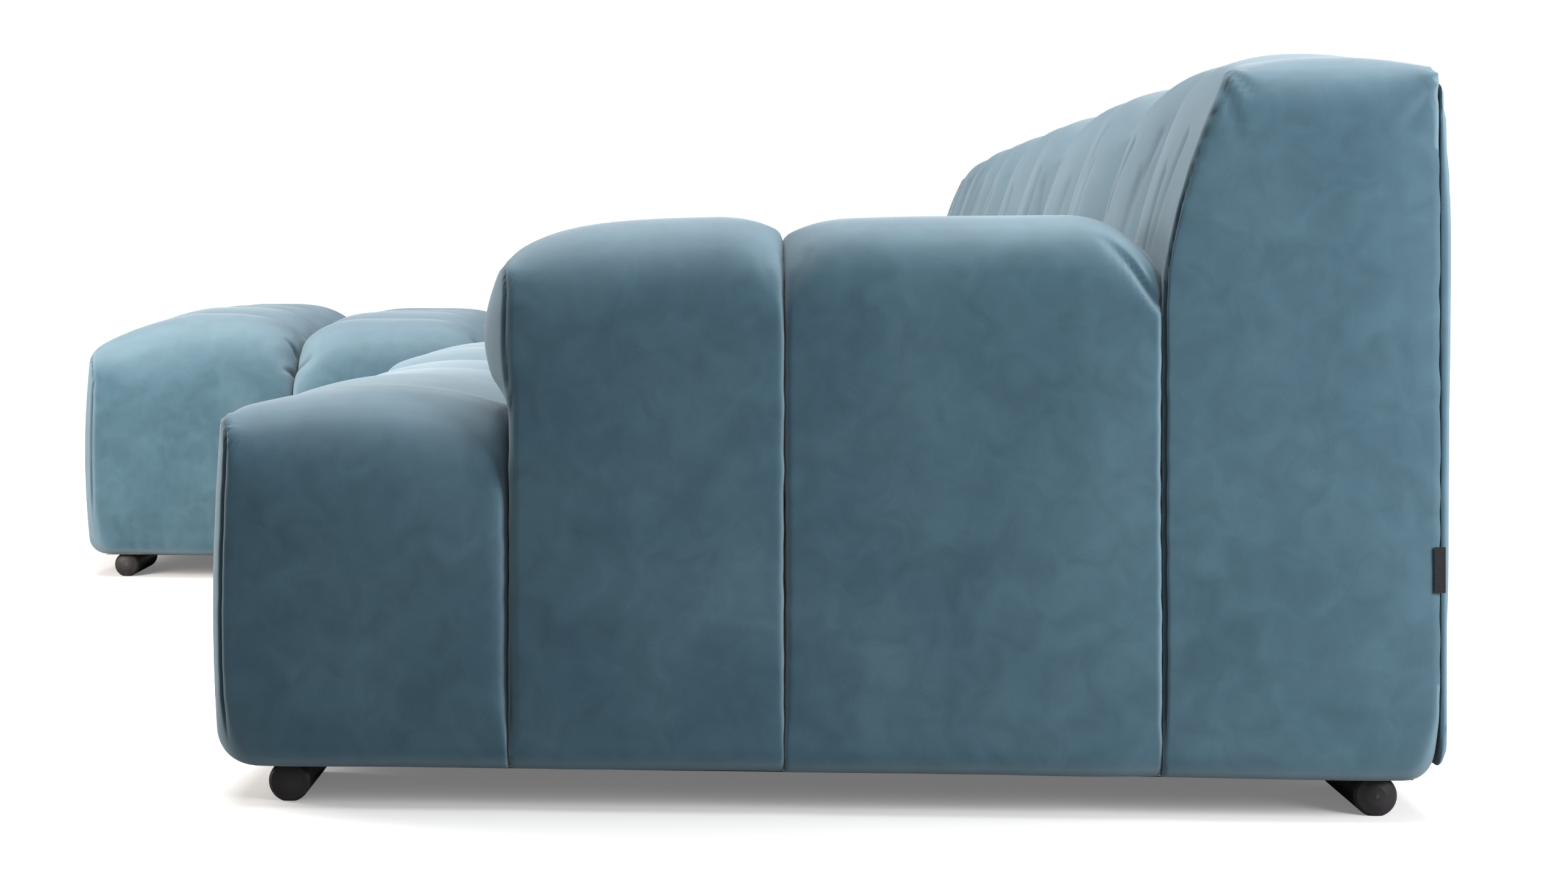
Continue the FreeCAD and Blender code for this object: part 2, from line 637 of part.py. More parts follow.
def make_arm_frame():
    """Box of panels that stands on the end rail and on a support rail beside the seat pads."""
    rail_inner = RIGHT - SIDE_PAD - RAIL_THICKNESS
    support = (ARM_INNER + SIDE_PAD, ARM_INNER + SIDE_PAD + RAIL_THICKNESS)
    depths = (ARM_FRONT + FRONT_PAD, ARM_FRONT + ARM_LENGTH - SIDE_PAD)
    heights = (FRAME_TOP, ARM_FRAME_TOP)
    outer = (rail_inner, rail_inner + PANEL_THICKNESS)
    inner = (support[1] - PANEL_THICKNESS, support[1])
    save("arm_support_rail", [block(support, (SOFA_FRAME_FRONT + RAIL_THICKNESS, DECK_RAIL_FRONT),
                                    (UNDERSIDE, FRAME_TOP))])
    save("arm_outer_panel", [arm_panel(outer, depths, heights)])
    save("arm_inner_panel", [arm_panel(inner, depths, heights)])
    between = (inner[1], outer[0])
    front_board = block(between, (depths[0], depths[0] + PANEL_THICKNESS), heights)
    rear_board = block(between, (depths[1] - PANEL_THICKNESS, depths[1]), heights)
    save("arm_end_boards", [front_board, rear_board])
    top = block((inner[0], outer[1]), depths, (ARM_FRAME_TOP, ARM_FRAME_TOP + PANEL_THICKNESS))
    save("arm_top_board", [top])
    plates = []
    plate_heights = (FRAME_TOP - PLATE_HEIGHT / 2, FRAME_TOP + PLATE_HEIGHT / 2)
    for x_range in ((inner[1], inner[1] + PLATE_THICKNESS), (outer[0] - PLATE_THICKNESS, outer[0])):
        for y in (depths[0] + 2 * PANEL_THICKNESS, depths[1] - 2 * PANEL_THICKNESS - PLATE_WIDTH):
            plates.append(block(x_range, (y, y + PLATE_WIDTH), plate_heights))
    save("arm_joining_plates", plates)


def arm_panel(x_range, depths, heights):
    """Plywood side of the arm frame with a rounded lightening hole."""
    panel = block(x_range, depths, heights)
    hole = block((x_range[0] - 1, x_range[1] + 1), (depths[0] + PANEL_MARGIN, depths[1] - PANEL_MARGIN),
                 (heights[0] + PANEL_MARGIN, heights[1] - PANEL_MARGIN))
    through = [edge for edge in hole.Edges if abs(edge.Vertexes[0].X - edge.Vertexes[1].X) > 1]
    hole = hole.makeFillet(PANEL_CORNER, through)
    return panel.cut(hole)


# Connectors

def make_connectors():
    """A pocket on the seat module's end rail and a hook on the chaise that drops into it, at two places."""
    rail_face = SOFA_LEFT + SIDE_PAD
    chaise_face = CHAISE_RIGHT - SIDE_PAD
    depth = HOOK_THICKNESS + 2 * POCKET_PLAY
    half = HOOK_WIDTH / 2 + POCKET_PLAY
    level = UNDERSIDE + POCKET_LIFT
    pockets = []
    hooks = []
    for y in connector_places():
        wall = half + HOOK_THICKNESS
        flange = wall + FLANGE_WIDTH
        face = depth + HOOK_THICKNESS
        steps = [(0, -flange), (HOOK_THICKNESS, -flange), (HOOK_THICKNESS, -wall), (face, -wall),
                 (face, wall), (HOOK_THICKNESS, wall), (HOOK_THICKNESS, flange), (0, flange),
                 (0, half), (depth, half), (depth, -half), (0, -half)]
        points = [FreeCAD.Vector(rail_face - dx, y + dy, level) for dx, dy in steps]
        pockets.append(prism(points, FreeCAD.Vector(0, 0, POCKET_HEIGHT)))
        web = level + POCKET_HEIGHT + POCKET_PLAY
        tongue = rail_face - POCKET_PLAY
        steps = [(chaise_face, web - HOOK_LENGTH), (chaise_face + HOOK_THICKNESS, web - HOOK_LENGTH),
                 (chaise_face + HOOK_THICKNESS, web), (tongue - HOOK_THICKNESS, web),
                 (tongue - HOOK_THICKNESS, web - HOOK_LENGTH), (tongue, web - HOOK_LENGTH),
                 (tongue, web + HOOK_THICKNESS), (chaise_face, web + HOOK_THICKNESS)]
        points = [FreeCAD.Vector(x, y - HOOK_WIDTH / 2, z) for x, z in steps]
        hooks.append(prism(points, FreeCAD.Vector(0, HOOK_WIDTH, 0)))
    save("sofa_connector_pockets", pockets)
    save("chaise_connector_hooks", hooks)


def hook_notch(y):
    """Opening in the chaise side padding that a hook reaches out through."""
    half = HOOK_WIDTH / 2 + NOTCH_MARGIN
    top = UNDERSIDE + POCKET_LIFT + POCKET_HEIGHT + POCKET_PLAY + HOOK_THICKNESS + NOTCH_MARGIN
    return block((CHAISE_RIGHT - SIDE_PAD - 2, CHAISE_RIGHT + 2), (y - half, y + half), (0, top))


def make_label():
    """Bare tape sewn into the rear edge of the end panel."""
    x = RIGHT - COVER_MARGIN + PAD_CLEARANCE
    y = REAR - REAR_COVER_THICKNESS + PAD_CLEARANCE
    tape = block((x, x + LABEL_THICKNESS), (y, y + LABEL_WIDTH), (LABEL_LEVEL, LABEL_LEVEL + LABEL_HEIGHT))
    save("side_label", [tape])


def make_sofa_frame():
    span = SOFA_FRAME_X[1] - SOFA_FRAME_X[0] - 2 * RAIL_THICKNESS - UPRIGHT_WIDTH
    start = SOFA_FRAME_X[0] + RAIL_THICKNESS + UPRIGHT_WIDTH / 2
    uprights = [start + span * index / SEAT_PUFFS for index in range(SEAT_PUFFS + 1)]
    places = foot_places((SOFA_LEFT, RIGHT), SOFA_FRONT)
    make_base_frame("sofa", SOFA_FRAME_X, SOFA_FRAME_FRONT)
    make_cross_rails("sofa", [SOFA_LEFT + PUFF_WIDTH, SOFA_LEFT + 2 * PUFF_WIDTH], SOFA_FRAME_FRONT)
    make_straps("sofa", (SOFA_FRAME_X[0] + RAIL_THICKNESS, ARM_INNER), SOFA_FRAME_FRONT)
    make_corner_blocks("sofa", SOFA_FRAME_X, SOFA_FRAME_FRONT, places)
    make_lining("sofa", SOFA_FRAME_X, SOFA_FRAME_FRONT, places)
    make_feet("sofa", places)
    make_back_frame("sofa", SOFA_FRAME_X, uprights)
    make_rear_cover("sofa", (SOFA_LEFT, RIGHT))


def make_chaise_frame():
    span = CHAISE_FRAME_X[1] - CHAISE_FRAME_X[0] - 2 * RAIL_THICKNESS - UPRIGHT_WIDTH
    start = CHAISE_FRAME_X[0] + RAIL_THICKNESS + UPRIGHT_WIDTH / 2
    uprights = [start + span * index / CHAISE_PUFFS for index in range(CHAISE_PUFFS + 1)]
    places = foot_places((LEFT, CHAISE_RIGHT), CHAISE_FRONT)
    make_base_frame("chaise", CHAISE_FRAME_X, CHAISE_FRAME_FRONT)
    make_cross_rails("chaise", [LEFT + CHAISE_WIDTH / 2], CHAISE_FRAME_FRONT)
    make_straps("chaise", (CHAISE_FRAME_X[0] + RAIL_THICKNESS, CHAISE_FRAME_X[1] - RAIL_THICKNESS),
                CHAISE_FRAME_FRONT)
    make_corner_blocks("chaise", CHAISE_FRAME_X, CHAISE_FRAME_FRONT, places)
    make_lining("chaise", CHAISE_FRAME_X, CHAISE_FRAME_FRONT, places)
    make_feet("chaise", places)
    make_back_frame("chaise", CHAISE_FRAME_X, uprights)
    make_rear_cover("chaise", (LEFT, CHAISE_RIGHT))


os.makedirs("parts", exist_ok=True)
make_sofa_frame()
make_chaise_frame()
make_arm_frame()
make_connectors()
make_seat()
make_arm_cushions()
make_sofa_back()
make_chaise_seat()
make_chaise_back()
make_label()
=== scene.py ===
import json
import math

import bpy
import numpy as np
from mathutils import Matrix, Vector


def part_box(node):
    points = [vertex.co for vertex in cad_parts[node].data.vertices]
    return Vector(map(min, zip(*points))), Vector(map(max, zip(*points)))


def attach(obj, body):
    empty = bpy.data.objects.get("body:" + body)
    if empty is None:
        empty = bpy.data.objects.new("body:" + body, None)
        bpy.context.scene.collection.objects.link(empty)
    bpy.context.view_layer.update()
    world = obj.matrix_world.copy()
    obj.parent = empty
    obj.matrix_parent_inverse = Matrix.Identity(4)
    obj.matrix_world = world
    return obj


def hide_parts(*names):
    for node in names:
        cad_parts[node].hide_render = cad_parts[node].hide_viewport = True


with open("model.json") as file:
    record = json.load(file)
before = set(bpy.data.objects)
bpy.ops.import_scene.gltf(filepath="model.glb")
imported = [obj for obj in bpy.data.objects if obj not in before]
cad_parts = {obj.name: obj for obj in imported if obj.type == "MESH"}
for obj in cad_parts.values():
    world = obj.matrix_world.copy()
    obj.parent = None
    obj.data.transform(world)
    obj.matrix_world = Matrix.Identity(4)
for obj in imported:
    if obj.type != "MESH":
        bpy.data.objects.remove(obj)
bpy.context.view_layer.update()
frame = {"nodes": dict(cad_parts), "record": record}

# Corner lounge sofa in blue velvet. All lengths are in metres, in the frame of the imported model.

# Cover and stuffing
CORE_REACH = 0.06
CORE_SHARE = 0.42
SEARCH_REACH = 1.6
SEARCH_STEPS = 22
OUTSIDE = 0.02
SEAM_DEPTH = 0.0022
SEAM_WIDTH = 0.0024
SEAM_SHADE_WIDTH = 0.0016
SEAM_START = (0.02, 0.07)
UPRIGHT_BAND = (-0.045, -0.018)
HEM_HEIGHT = 0.05
PUCKER_DEPTH = 0.0007
PUCKER_REACH = 0.030
PUCKER_LENGTH = 0.045
PUCKER_SPREAD = (0.6, 1.6)
LUMP_DEPTH = 0.0014
LUMP_LENGTH = 0.22
LUMP_SPREAD = (0.7, 1.5)
# Depth of a fold at which its painted shade is full
FULL_SHADE_FOLD_DEPTH = 0.010
FOLD_RUN_OUT = 0.8
SHARP_ANGLE = math.radians(60)
TIP_REACH = 0.042
COVER_SHIFT = 0.0075

# Distances between the lines of a cover's grid
GRID_STEP = 0.011
FINE_STEP = 0.0062
PAD_STEP = 0.016
PANEL_STEP = 0.024
EDGE_STEPS = (0.0014, 0.0032, 0.0056, 0.009, 0.0135, 0.019, 0.0255, 0.033, 0.042, 0.052)
EDGE_SHARE = 0.3
CREASE_STEPS = (0.0016, 0.004, 0.0075, 0.0125)
CREASE_CLEAR = 0.004

# Rooms for the frames
ROOM = 0.0005
BELOW_FLOOR = -0.1
JOINT_ROOM = 0.03
HOOK_WIDTH = 0.056
HOOK_MARGIN = 0.012
HOOK_REACH = 0.05
HOOK_BACK = 0.002

# Photograph's camera. Its focal length and its axis are in pixels.
PHOTO_WIDTH = 2560
PHOTO_HEIGHT = 1440
FOCAL_PIXELS = 4191.9
AXIS_PIXEL = (898.1, 428.2)
CAMERA_PLACE = (4.0373, 0.2058, 0.5661)
CAMERA_YAW = math.radians(-3.791)


# Smooth forms

def soft_max(first, second, blend):
    """The larger of two distances, eased over a short blend where they are nearly equal."""
    share = np.clip(blend - np.abs(first - second), 0, None) / blend
    return np.maximum(first, second) + share * share * blend / 4


def ease(value, start, end):
    """Rises smoothly from 0 at start to 1 at end."""
    t = np.clip((value - start) / (end - start), 0, 1)
    return t * t * (3 - 2 * t)


def bump(value, middle, width):
    return np.exp(-((value - middle) / width) ** 2)


def fall(share, power=2.2):
    """1 at the edge of a channel, 0 from its middle on."""
    return np.clip(1 - share, 0, 1) ** power


class Ripple:
    """Slow uneven swelling of stuffing, the same on every run."""

    def __init__(self, seed, length, count=7):
        source = np.random.default_rng(seed)
        turns = source.normal(size=(count, 3))
        turns /= np.linalg.norm(turns, axis=1)[:, None]
        self.turns = turns * (2 * math.pi / (length * source.uniform(*LUMP_SPREAD, size=(count, 1))))
        self.phases = source.uniform(0, 2 * math.pi, size=count)

    def at(self, points):
        return np.sin(points @ self.turns.T + self.phases).mean(axis=1)


def along_seam(values, seed, length, count=6):
    """Uneven gathers along a seam."""
    source = np.random.default_rng(seed)
    total = np.zeros_like(values)
    for _ in range(count):
        wave = length * source.uniform(*PUCKER_SPREAD)
        total += np.sin(values * (2 * math.pi / wave) + source.uniform(0, 2 * math.pi))
    return total / count


def fold_depth(points, fold):
    """Depth of one fold, a groove that grows shallower towards its end."""
    start, end, width, depth = fold
    start = np.array(start)
    line = np.array(end) - start
    length = np.linalg.norm(line)
    t = np.clip((points - start) @ line / length ** 2, 0, 1)
    away = np.linalg.norm(points - start - t[:, None] * line, axis=1)
    return depth * np.exp(-(away / width) ** 2) * (1 - FOLD_RUN_OUT * t)


class Cushion:
    """A stuffed form between six swelling faces. Its cover wraps over both ends and the top, and the front
    and rear panels are sewn in along their edges."""

    def __init__(self, node, seed):
        low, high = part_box(node)
        self.node = node
        self.low = np.array(low)
        self.high = np.array(high)
        self.seed = seed
        self.end_rounds = (0.012, 0.012)
        self.panel_rounds = (0.012, 0.012)
        self.top_rounds = (0.020, 0.020)
        self.low_rounds = (0.008, 0.008)
        self.bottom_round = 0.026
        self.tips = (0, 0)
        self.gathers = PUCKER_DEPTH
        self.folds = []
        self.pinches = []
        self.lines_x = []
        self.core_reach = (CORE_REACH, CORE_REACH, CORE_REACH)
        self.seam_depths = (SEAM_DEPTH, SEAM_DEPTH)
        self.lumps = LUMP_DEPTH
        self.step = GRID_STEP

    def top(self, x, y):
        return np.full_like(x, self.high[2])

    def front(self, x, z):
        return np.full_like(x, self.low[1])

    def rear(self, x, z):
        return np.full_like(x, self.high[1])

    def left(self, y, z):
        return np.full_like(y, self.low[0])

    def right(self, y, z):
        return np.full_like(y, self.high[0])

    def channels(self, x, left, right, line, count=2):
        """How far the cover is drawn in across equal channels: at each side and at the lines between."""
        u = np.clip((x - self.low[0]) / (self.high[0] - self.low[0]), 0, 1) * count
        drop = left * fall(2 * u) + right * fall(2 * (count - u))
        for index in range(1, count):
            drop = drop + line * fall(2 * np.abs(u - index))
        return drop

    def from_middle(self, y):
        """0 half way from front to rear, 1 at either of them."""
        middle = (self.low[1] + self.high[1]) / 2
        return np.abs(y - middle) / ((self.high[1] - self.low[1]) / 2)

    def from_end(self, x):
        """Distance from the nearer end."""
        return np.minimum(x - self.low[0], self.high[0] - x)

    def cover(self, points):
        """About how far each point is outside the cover, and how deep it lies in a seam or a fold, which
        sets the painted shade there.
        """
        x, y, z = points.T
        over = z - self.top(x, y)
        right = x - self.right(y, z)
        left = self.left(y, z) - x
        panels = (self.front(x, z) - y, y - self.rear(x, z))
        round_share = 1 - sum(tip * np.exp(np.minimum(panel, 0) / TIP_REACH)
                              for tip, panel in zip(self.tips, panels))
        wrap = soft_max(over, right, self.end_rounds[1] * round_share)
        wrap = soft_max(wrap, left, self.end_rounds[0] * round_share)
        wrap = soft_max(wrap, self.low[2] - z, self.bottom_round)
        near_floor = bump(z, self.low[2], HEM_HEIGHT)
        upright = ease(np.maximum(right, left) - over, *UPRIGHT_BAND)
        sewn = upright * ease(z - self.low[2], *SEAM_START)
        gathers = self.gathers * upright * along_seam(z, self.seed, PUCKER_LENGTH)
        outside = wrap
        # crease: strength of the painted shade in seams and folds, for the velvet's colour
        crease = np.zeros_like(x)
        for side, panel in enumerate(panels):
            upper = self.top_rounds[side] + (self.panel_rounds[side] - self.top_rounds[side]) * upright
            lower = self.low_rounds[side]
            apart = np.abs(wrap - panel)
            outside = soft_max(outside, panel, upper + (lower - upper) * near_floor)
            outside = outside + self.seam_depths[side] * sewn * np.exp(-(apart / SEAM_WIDTH) ** 2)
            outside = outside + gathers * np.exp(-apart / PUCKER_REACH)
            if self.seam_depths[side] > 0:
                crease = np.maximum(crease, sewn * np.exp(-(apart / SEAM_SHADE_WIDTH) ** 2))
        for place, width, depth in self.pinches:
            away = np.linalg.norm(points - np.array(place), axis=1)
            outside = outside + depth * np.exp(-(away / width) ** 2)
        for fold in self.folds:
            depth = fold_depth(points, fold)
            outside = outside + depth
            crease = np.maximum(crease, depth / FULL_SHADE_FOLD_DEPTH)
        lumps = self.lumps * Ripple(self.seed, LUMP_LENGTH).at(points)
        return outside + lumps, np.clip(crease, 0, 1)

    def grid_lines(self, axis, creases):
        """Lines of the starting grid along one axis, closer together at the seams."""
        low, high = self.low[axis], self.high[axis]
        size = high - low
        edges = [step for step in EDGE_STEPS if step < EDGE_SHARE * size]
        lines = {low, high}
        lines.update(low + step for step in edges)
        lines.update(high - step for step in edges)
        inner = size - 2 * edges[-1]
        count = max(2, round(inner / self.step))
        plain = [low + edges[-1] + inner * index / count for index in range(1, count)]
        for crease in creases:
            plain = [value for value in plain if abs(value - crease) > CREASE_STEPS[-1] + CREASE_CLEAR]
            lines.add(crease)
            lines.update(crease + side * step for step in CREASE_STEPS for side in (-1, 1))
        return np.array(sorted(lines | set(plain)))

    def mesh_data(self):
        points, faces = box_grid(self.grid_lines(0, self.lines_x), self.grid_lines(1, []),
                                 self.grid_lines(2, []))
        reach = np.minimum(self.core_reach, CORE_SHARE * (self.high - self.low))
        core = np.clip(points, self.low + reach, self.high - reach)
        ray = points - core
        length = np.linalg.norm(ray, axis=1)
        ray /= length[:, None]
        near = np.zeros(len(points))
        far = length * SEARCH_REACH
        for _ in range(SEARCH_STEPS):
            middle = (near + far) / 2
            out = self.cover(core + ray * middle[:, None])[0] > 0
            far = np.where(out, middle, far)
            near = np.where(out, near, middle)
        return core + ray * near[:, None], faces


def box_grid(xs, ys, zs):
    """Points and four-sided faces of the surface of a box of grid lines."""
    counts = (len(xs), len(ys), len(zs))
    weights = np.array((counts[1] * counts[2], counts[2], 1))
    codes = []
    for axis in range(3):
        second, third = (axis + 1) % 3, (axis + 2) % 3
        i, j = np.meshgrid(np.arange(counts[second] - 1), np.arange(counts[third] - 1), indexing="ij")
        i, j = i.ravel(), j.ravel()
        for side in (0, counts[axis] - 1):
            corners = [(i, j), (i + 1, j), (i + 1, j + 1), (i, j + 1)]
            if side == 0:
                corners.reverse()
            quads = np.stack([side * weights[axis] + a * weights[second] + b * weights[third]
                              for a, b in corners], axis=1)
            codes.append(quads)
    codes = np.concatenate(codes)
    used, faces = np.unique(codes, return_inverse=True)
    faces = faces.reshape(codes.shape)
    index = np.stack((used // weights[0], used // weights[1] % counts[1], used % counts[2]), axis=1)
    points = np.stack((xs[index[:, 0]], ys[index[:, 1]], zs[index[:, 2]]), axis=1)
    return points, faces


def new_object(name, points, faces):
    mesh = bpy.data.meshes.new(name)
    mesh.from_pydata(points.tolist(), [], faces.tolist())
    mesh.update()
    piece = bpy.data.objects.new(name, mesh)
    bpy.context.scene.collection.objects.link(piece)
    return piece


# Rooms for the frames inside the cushions

def room_over(nodes, sides=(0, 0)):
    """Space that a group of frame pieces takes, open below, and reaching further at the two ends."""
    boxes = [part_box(node) for node in nodes]
    low = [min(box[0][axis] for box in boxes) - ROOM for axis in range(3)]
    high = [max(box[1][axis] for box in boxes) + ROOM for axis in range(3)]
    low[0] -= sides[0]
    high[0] += sides[1]
    low[2] = BELOW_FLOOR
    return low, high


def hook_rooms():
    """Openings that the two hooks reach out through."""
    low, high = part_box("chaise_connector_hooks")
    rooms = []
    for start in (low[1], high[1] - HOOK_WIDTH):
        room_low = (low[0] - HOOK_BACK, start - HOOK_MARGIN, BELOW_FLOOR)
        room_high = (high[0] + HOOK_REACH, start + HOOK_WIDTH + HOOK_MARGIN, high[2] + HOOK_MARGIN)
        rooms.append((room_low, room_high))
    return rooms


BASE_NODES = ("_end_rails", "_seat_straps")
BACK_NODES = ("_back_top_rail", "_back_straps", "_back_board")
SOFA_ROOMS = [room_over(["sofa" + node for node in BASE_NODES], (JOINT_ROOM, 0)),
              room_over(["sofa" + node for node in BACK_NODES], (JOINT_ROOM, 0))]
CHAISE_ROOMS = [room_over(["chaise" + node for node in BASE_NODES]),
                room_over(["chaise" + node for node in BACK_NODES])]
ARM_ROOMS = [room_over(("arm_top_board",)), SOFA_ROOMS[0]]


def apply_modifiers(piece):
    graph = bpy.context.evaluated_depsgraph_get()
    result = bpy.data.meshes.new_from_object(piece.evaluated_get(graph))
    piece.modifiers.clear()
    piece.data = result


def hollow(piece, rooms):
    """Cut the rooms out of a cushion, so that its frame stands in it."""
    points = np.array([corner[:] for corner in piece.bound_box])
    low, high = points.min(axis=0), points.max(axis=0)
    for room_low, room_high in rooms:
        meets = all(room_low[axis] < high[axis] and room_high[axis] > low[axis] for axis in range(3))
        if not meets:
            continue
        lines = [np.array((room_low[axis], room_high[axis])) for axis in range(3)]
        cutter = new_object("cutter", *box_grid(*lines))
        cut = piece.modifiers.new("room", "BOOLEAN")
        cut.operation = "DIFFERENCE"
        cut.solver = "MANIFOLD"
        cut.object = cutter
        apply_modifiers(piece)
        bpy.data.objects.remove(cutter)


# The cushions, each with its own form. A fold is its start, its end, its width and its depth.

PANEL_TURN = 0.004
PANEL_TOP_TURN = 0.003


def panel_turn(v, level):
    """How far an upright end panel turns in towards its side edges, its top and its hem."""
    return PANEL_TURN * v ** 3 + PANEL_TOP_TURN * level ** 3


class SeatBlock(Cushion):
    """Wide block across the front of the seat."""

    RISE = 0.003
    CROWN = 0.030
    CROWN_POWER = 2.1
    END_CROWN = 0.25
    END_LIFT = 0.017
    END_BAND = (0.16, 0.02)
    TOP_JOINT = 0.024
    TOP_END = 0.004
    TOP_LINE = 0.007
    FRONT_JOINT = 0.020
    FRONT_LINE = 0.005
    FRONT_END = 0.018
    FRONT_END_REACH = 0.07
    BELLY = 0.010
    BELLY_TURN = 0.008
    BELLY_LEVEL = 0.215
    BELLY_REACH = 0.19
    REAR_SWELL = 0.0027
    REAR_TURN = 0.0006
    END_LEVEL = 0.22

    def __init__(self, node, seed, is_end, sag):
        super().__init__(node, seed)
        self.sag = sag
        self.is_end = is_end
        self.lines_x = [(self.low[0] + self.high[0]) / 2]
        self.end_rounds = (0.010, 0.170 if is_end else 0.010)
        self.panel_rounds = (0.008, 0.022)
        self.top_rounds = (0.026, 0.022)
        self.low_rounds = (0.042, 0.001)
        self.tips = (0.80, 0.40)
        self.seam_depths = (SEAM_DEPTH, 0)
        if is_end:
            self.step = FINE_STEP
            self.gather_corners()

    def gather_corners(self):
        """Pinch and folds at the two upper corners of the near end."""
        end, front, rear = self.high[0], self.low[1], self.high[1]
        self.pinches = [((end - 0.006, rear - 0.004, 0.404), 0.016, 0.006)]
        self.folds = [
            ((end - 0.004, rear - 0.010, 0.404), (end - 0.001, rear - 0.062, 0.372), 0.0060, 0.0060),
            ((end - 0.010, rear - 0.010, 0.410), (end - 0.034, rear - 0.076, 0.424), 0.0070, 0.0060),
            ((end - 0.004, rear - 0.008, 0.396), (end - 0.001, rear - 0.026, 0.340), 0.0060, 0.0056),
            ((end - 0.003, front + 0.012, 0.402), (end - 0.001, front + 0.040, 0.372), 0.0050, 0.0060),
            ((end - 0.010, front + 0.014, 0.410), (end - 0.060, front + 0.050, 0.424), 0.0070, 0.0050),
        ]

    def top(self, x, y):
        crown = self.CROWN
        height = self.high[2] + self.RISE - self.sag
        if self.is_end:
            near_end = ease(x, *(self.high[0] - inset for inset in self.END_BAND))
            crown = crown * (1 + self.END_CROWN * near_end)
            height = height + self.END_LIFT * near_end
        right = self.TOP_END if self.is_end else self.TOP_JOINT
        sides = self.channels(x, self.TOP_JOINT, right, self.TOP_LINE)
        return height - crown * self.from_middle(y) ** self.CROWN_POWER - sides

    def front(self, x, z):
        level = (z - self.BELLY_LEVEL) / self.BELLY_REACH
        sides = self.channels(x, self.FRONT_JOINT, 0 if self.is_end else self.FRONT_JOINT, self.FRONT_LINE)
        if self.is_end:
            sides = sides + self.FRONT_END * fall((self.high[0] - x) / self.FRONT_END_REACH)
        return self.low[1] - self.BELLY + self.BELLY_TURN * level ** 2 + sides

    def rear(self, x, z):
        level = (z - self.BELLY_LEVEL) / self.BELLY_REACH
        return self.high[1] + self.REAR_SWELL - self.REAR_TURN * level ** 2

    def right(self, y, z):
        if not self.is_end:
            return np.full_like(y, self.high[0])
        level = np.abs(z - self.END_LEVEL) / self.BELLY_REACH
        return self.high[0] - panel_turn(self.from_middle(y), level)


class SeatPad(Cushion):
    """Long pad behind a front block."""

    CROWN = 0.028
    CROWN_POWER = 3.2

    def __init__(self, node, seed):
        super().__init__(node, seed)
        self.step = PAD_STEP
        self.lines_x = [(self.low[0] + self.high[0]) / 2]

    def top(self, x, y):
        sides = self.channels(x, SeatBlock.TOP_JOINT, SeatBlock.TOP_JOINT, SeatBlock.TOP_LINE)
        crown = self.CROWN * self.from_middle(y) ** self.CROWN_POWER
        return self.high[2] + SeatBlock.RISE - crown - sides


class ArmPad(Cushion):
    """One of the two pads of the arm, with a pinched groove between them."""

    RISE = 0.001
    SWELL = 0.0009
    CROWN = 0.008
    GROOVE = 0.017
    GROOVE_AT_END = 0.022
    GROOVE_SHARE = 0.26
    GROOVE_POWER = 2.4
    END_BAND = (0.11, 0.01)
    END_LEVEL = 0.30
    END_REACH = 0.27

    def __init__(self, node, seed):
        super().__init__(node, seed)
        self.step = FINE_STEP

    def groove(self, x, share):
        """Depth of the groove between the pads, drawn in further at the outer end."""
        near_end = ease(x, *(self.high[0] - inset for inset in self.END_BAND))
        depth = self.GROOVE + self.GROOVE_AT_END * near_end
        return depth * fall(share / self.GROOVE_SHARE, self.GROOVE_POWER)

    def crown(self, x):
        v = 2 * (x - self.low[0]) / (self.high[0] - self.low[0]) - 1
        return self.CROWN * v ** 2

    def groove_folds(self, line, side):
        """The two folds where the groove runs down over the outer end."""
        end = self.high[0]
        sharp = ((end - 0.020, line + side * 0.010, 0.582), (end - 0.003, line + side * 0.002, 0.525))
        soft = ((end - 0.022, line + side * 0.020, 0.580), (end - 0.006, line + side * 0.012, 0.545))
        return [(*sharp, 0.0042, 0.0090), (*soft, 0.0060, 0.0040)]

    def outer_end(self, v, z):
        return self.high[0] - panel_turn(v, np.abs(z - self.END_LEVEL) / self.END_REACH)


class ArmFront(ArmPad):
    """Front pad of the arm, with a nose that swells over the seat block."""

    FACE_INSET = 0.024
    FACE_SWELL = 0.0018
    NOSE = 0.034
    NOSE_LEVEL = 0.49
    NOSE_REACH = 0.085
    NOSE_FOOT = (0.40, 0.45)
    NOSE_DROP = 0.037
    NOSE_RUN = 0.2
    HALF_DEPTH = 0.14

    def __init__(self, node, seed):
        super().__init__(node, seed)
        self.face = self.low[1] + self.FACE_INSET
        self.end_rounds = (0.090, 0.120)
        self.panel_rounds = (0.008, 0.009)
        self.top_rounds = (0.022, 0.010)
        self.low_rounds = (0.001, 0.003)
        self.tips = (0.72, 0.35)
        self.seam_depths = (SEAM_DEPTH, 0)
        end, face = self.high[0], self.face
        self.folds = self.groove_folds(self.high[1], -1) + [
            ((end - 0.014, face + 0.004, 0.570), (end - 0.003, face + 0.012, 0.535), 0.0042, 0.0060),
        ]

    def top(self, x, y):
        u = np.clip((y - self.face) / (self.high[1] - self.face), -0.1, 1)
        nose = self.NOSE_DROP * np.exp(-u / self.NOSE_RUN)
        return self.high[2] + self.RISE - nose - self.groove(x, 1 - u) - self.crown(x)

    def front(self, x, z):
        v = np.clip(2 * (x - self.low[0]) / (self.high[0] - self.low[0]) - 1, -1, 1)
        nose = self.NOSE * bump(z, self.NOSE_LEVEL, self.NOSE_REACH) * (1 - v ** 4)
        return self.face - self.FACE_SWELL - nose * ease(z, *self.NOSE_FOOT)

    def rear(self, x, z):
        return np.full_like(x, self.high[1] + self.SWELL)

    def right(self, y, z):
        return self.outer_end(np.abs(y - (self.face + self.high[1]) / 2) / self.HALF_DEPTH, z)


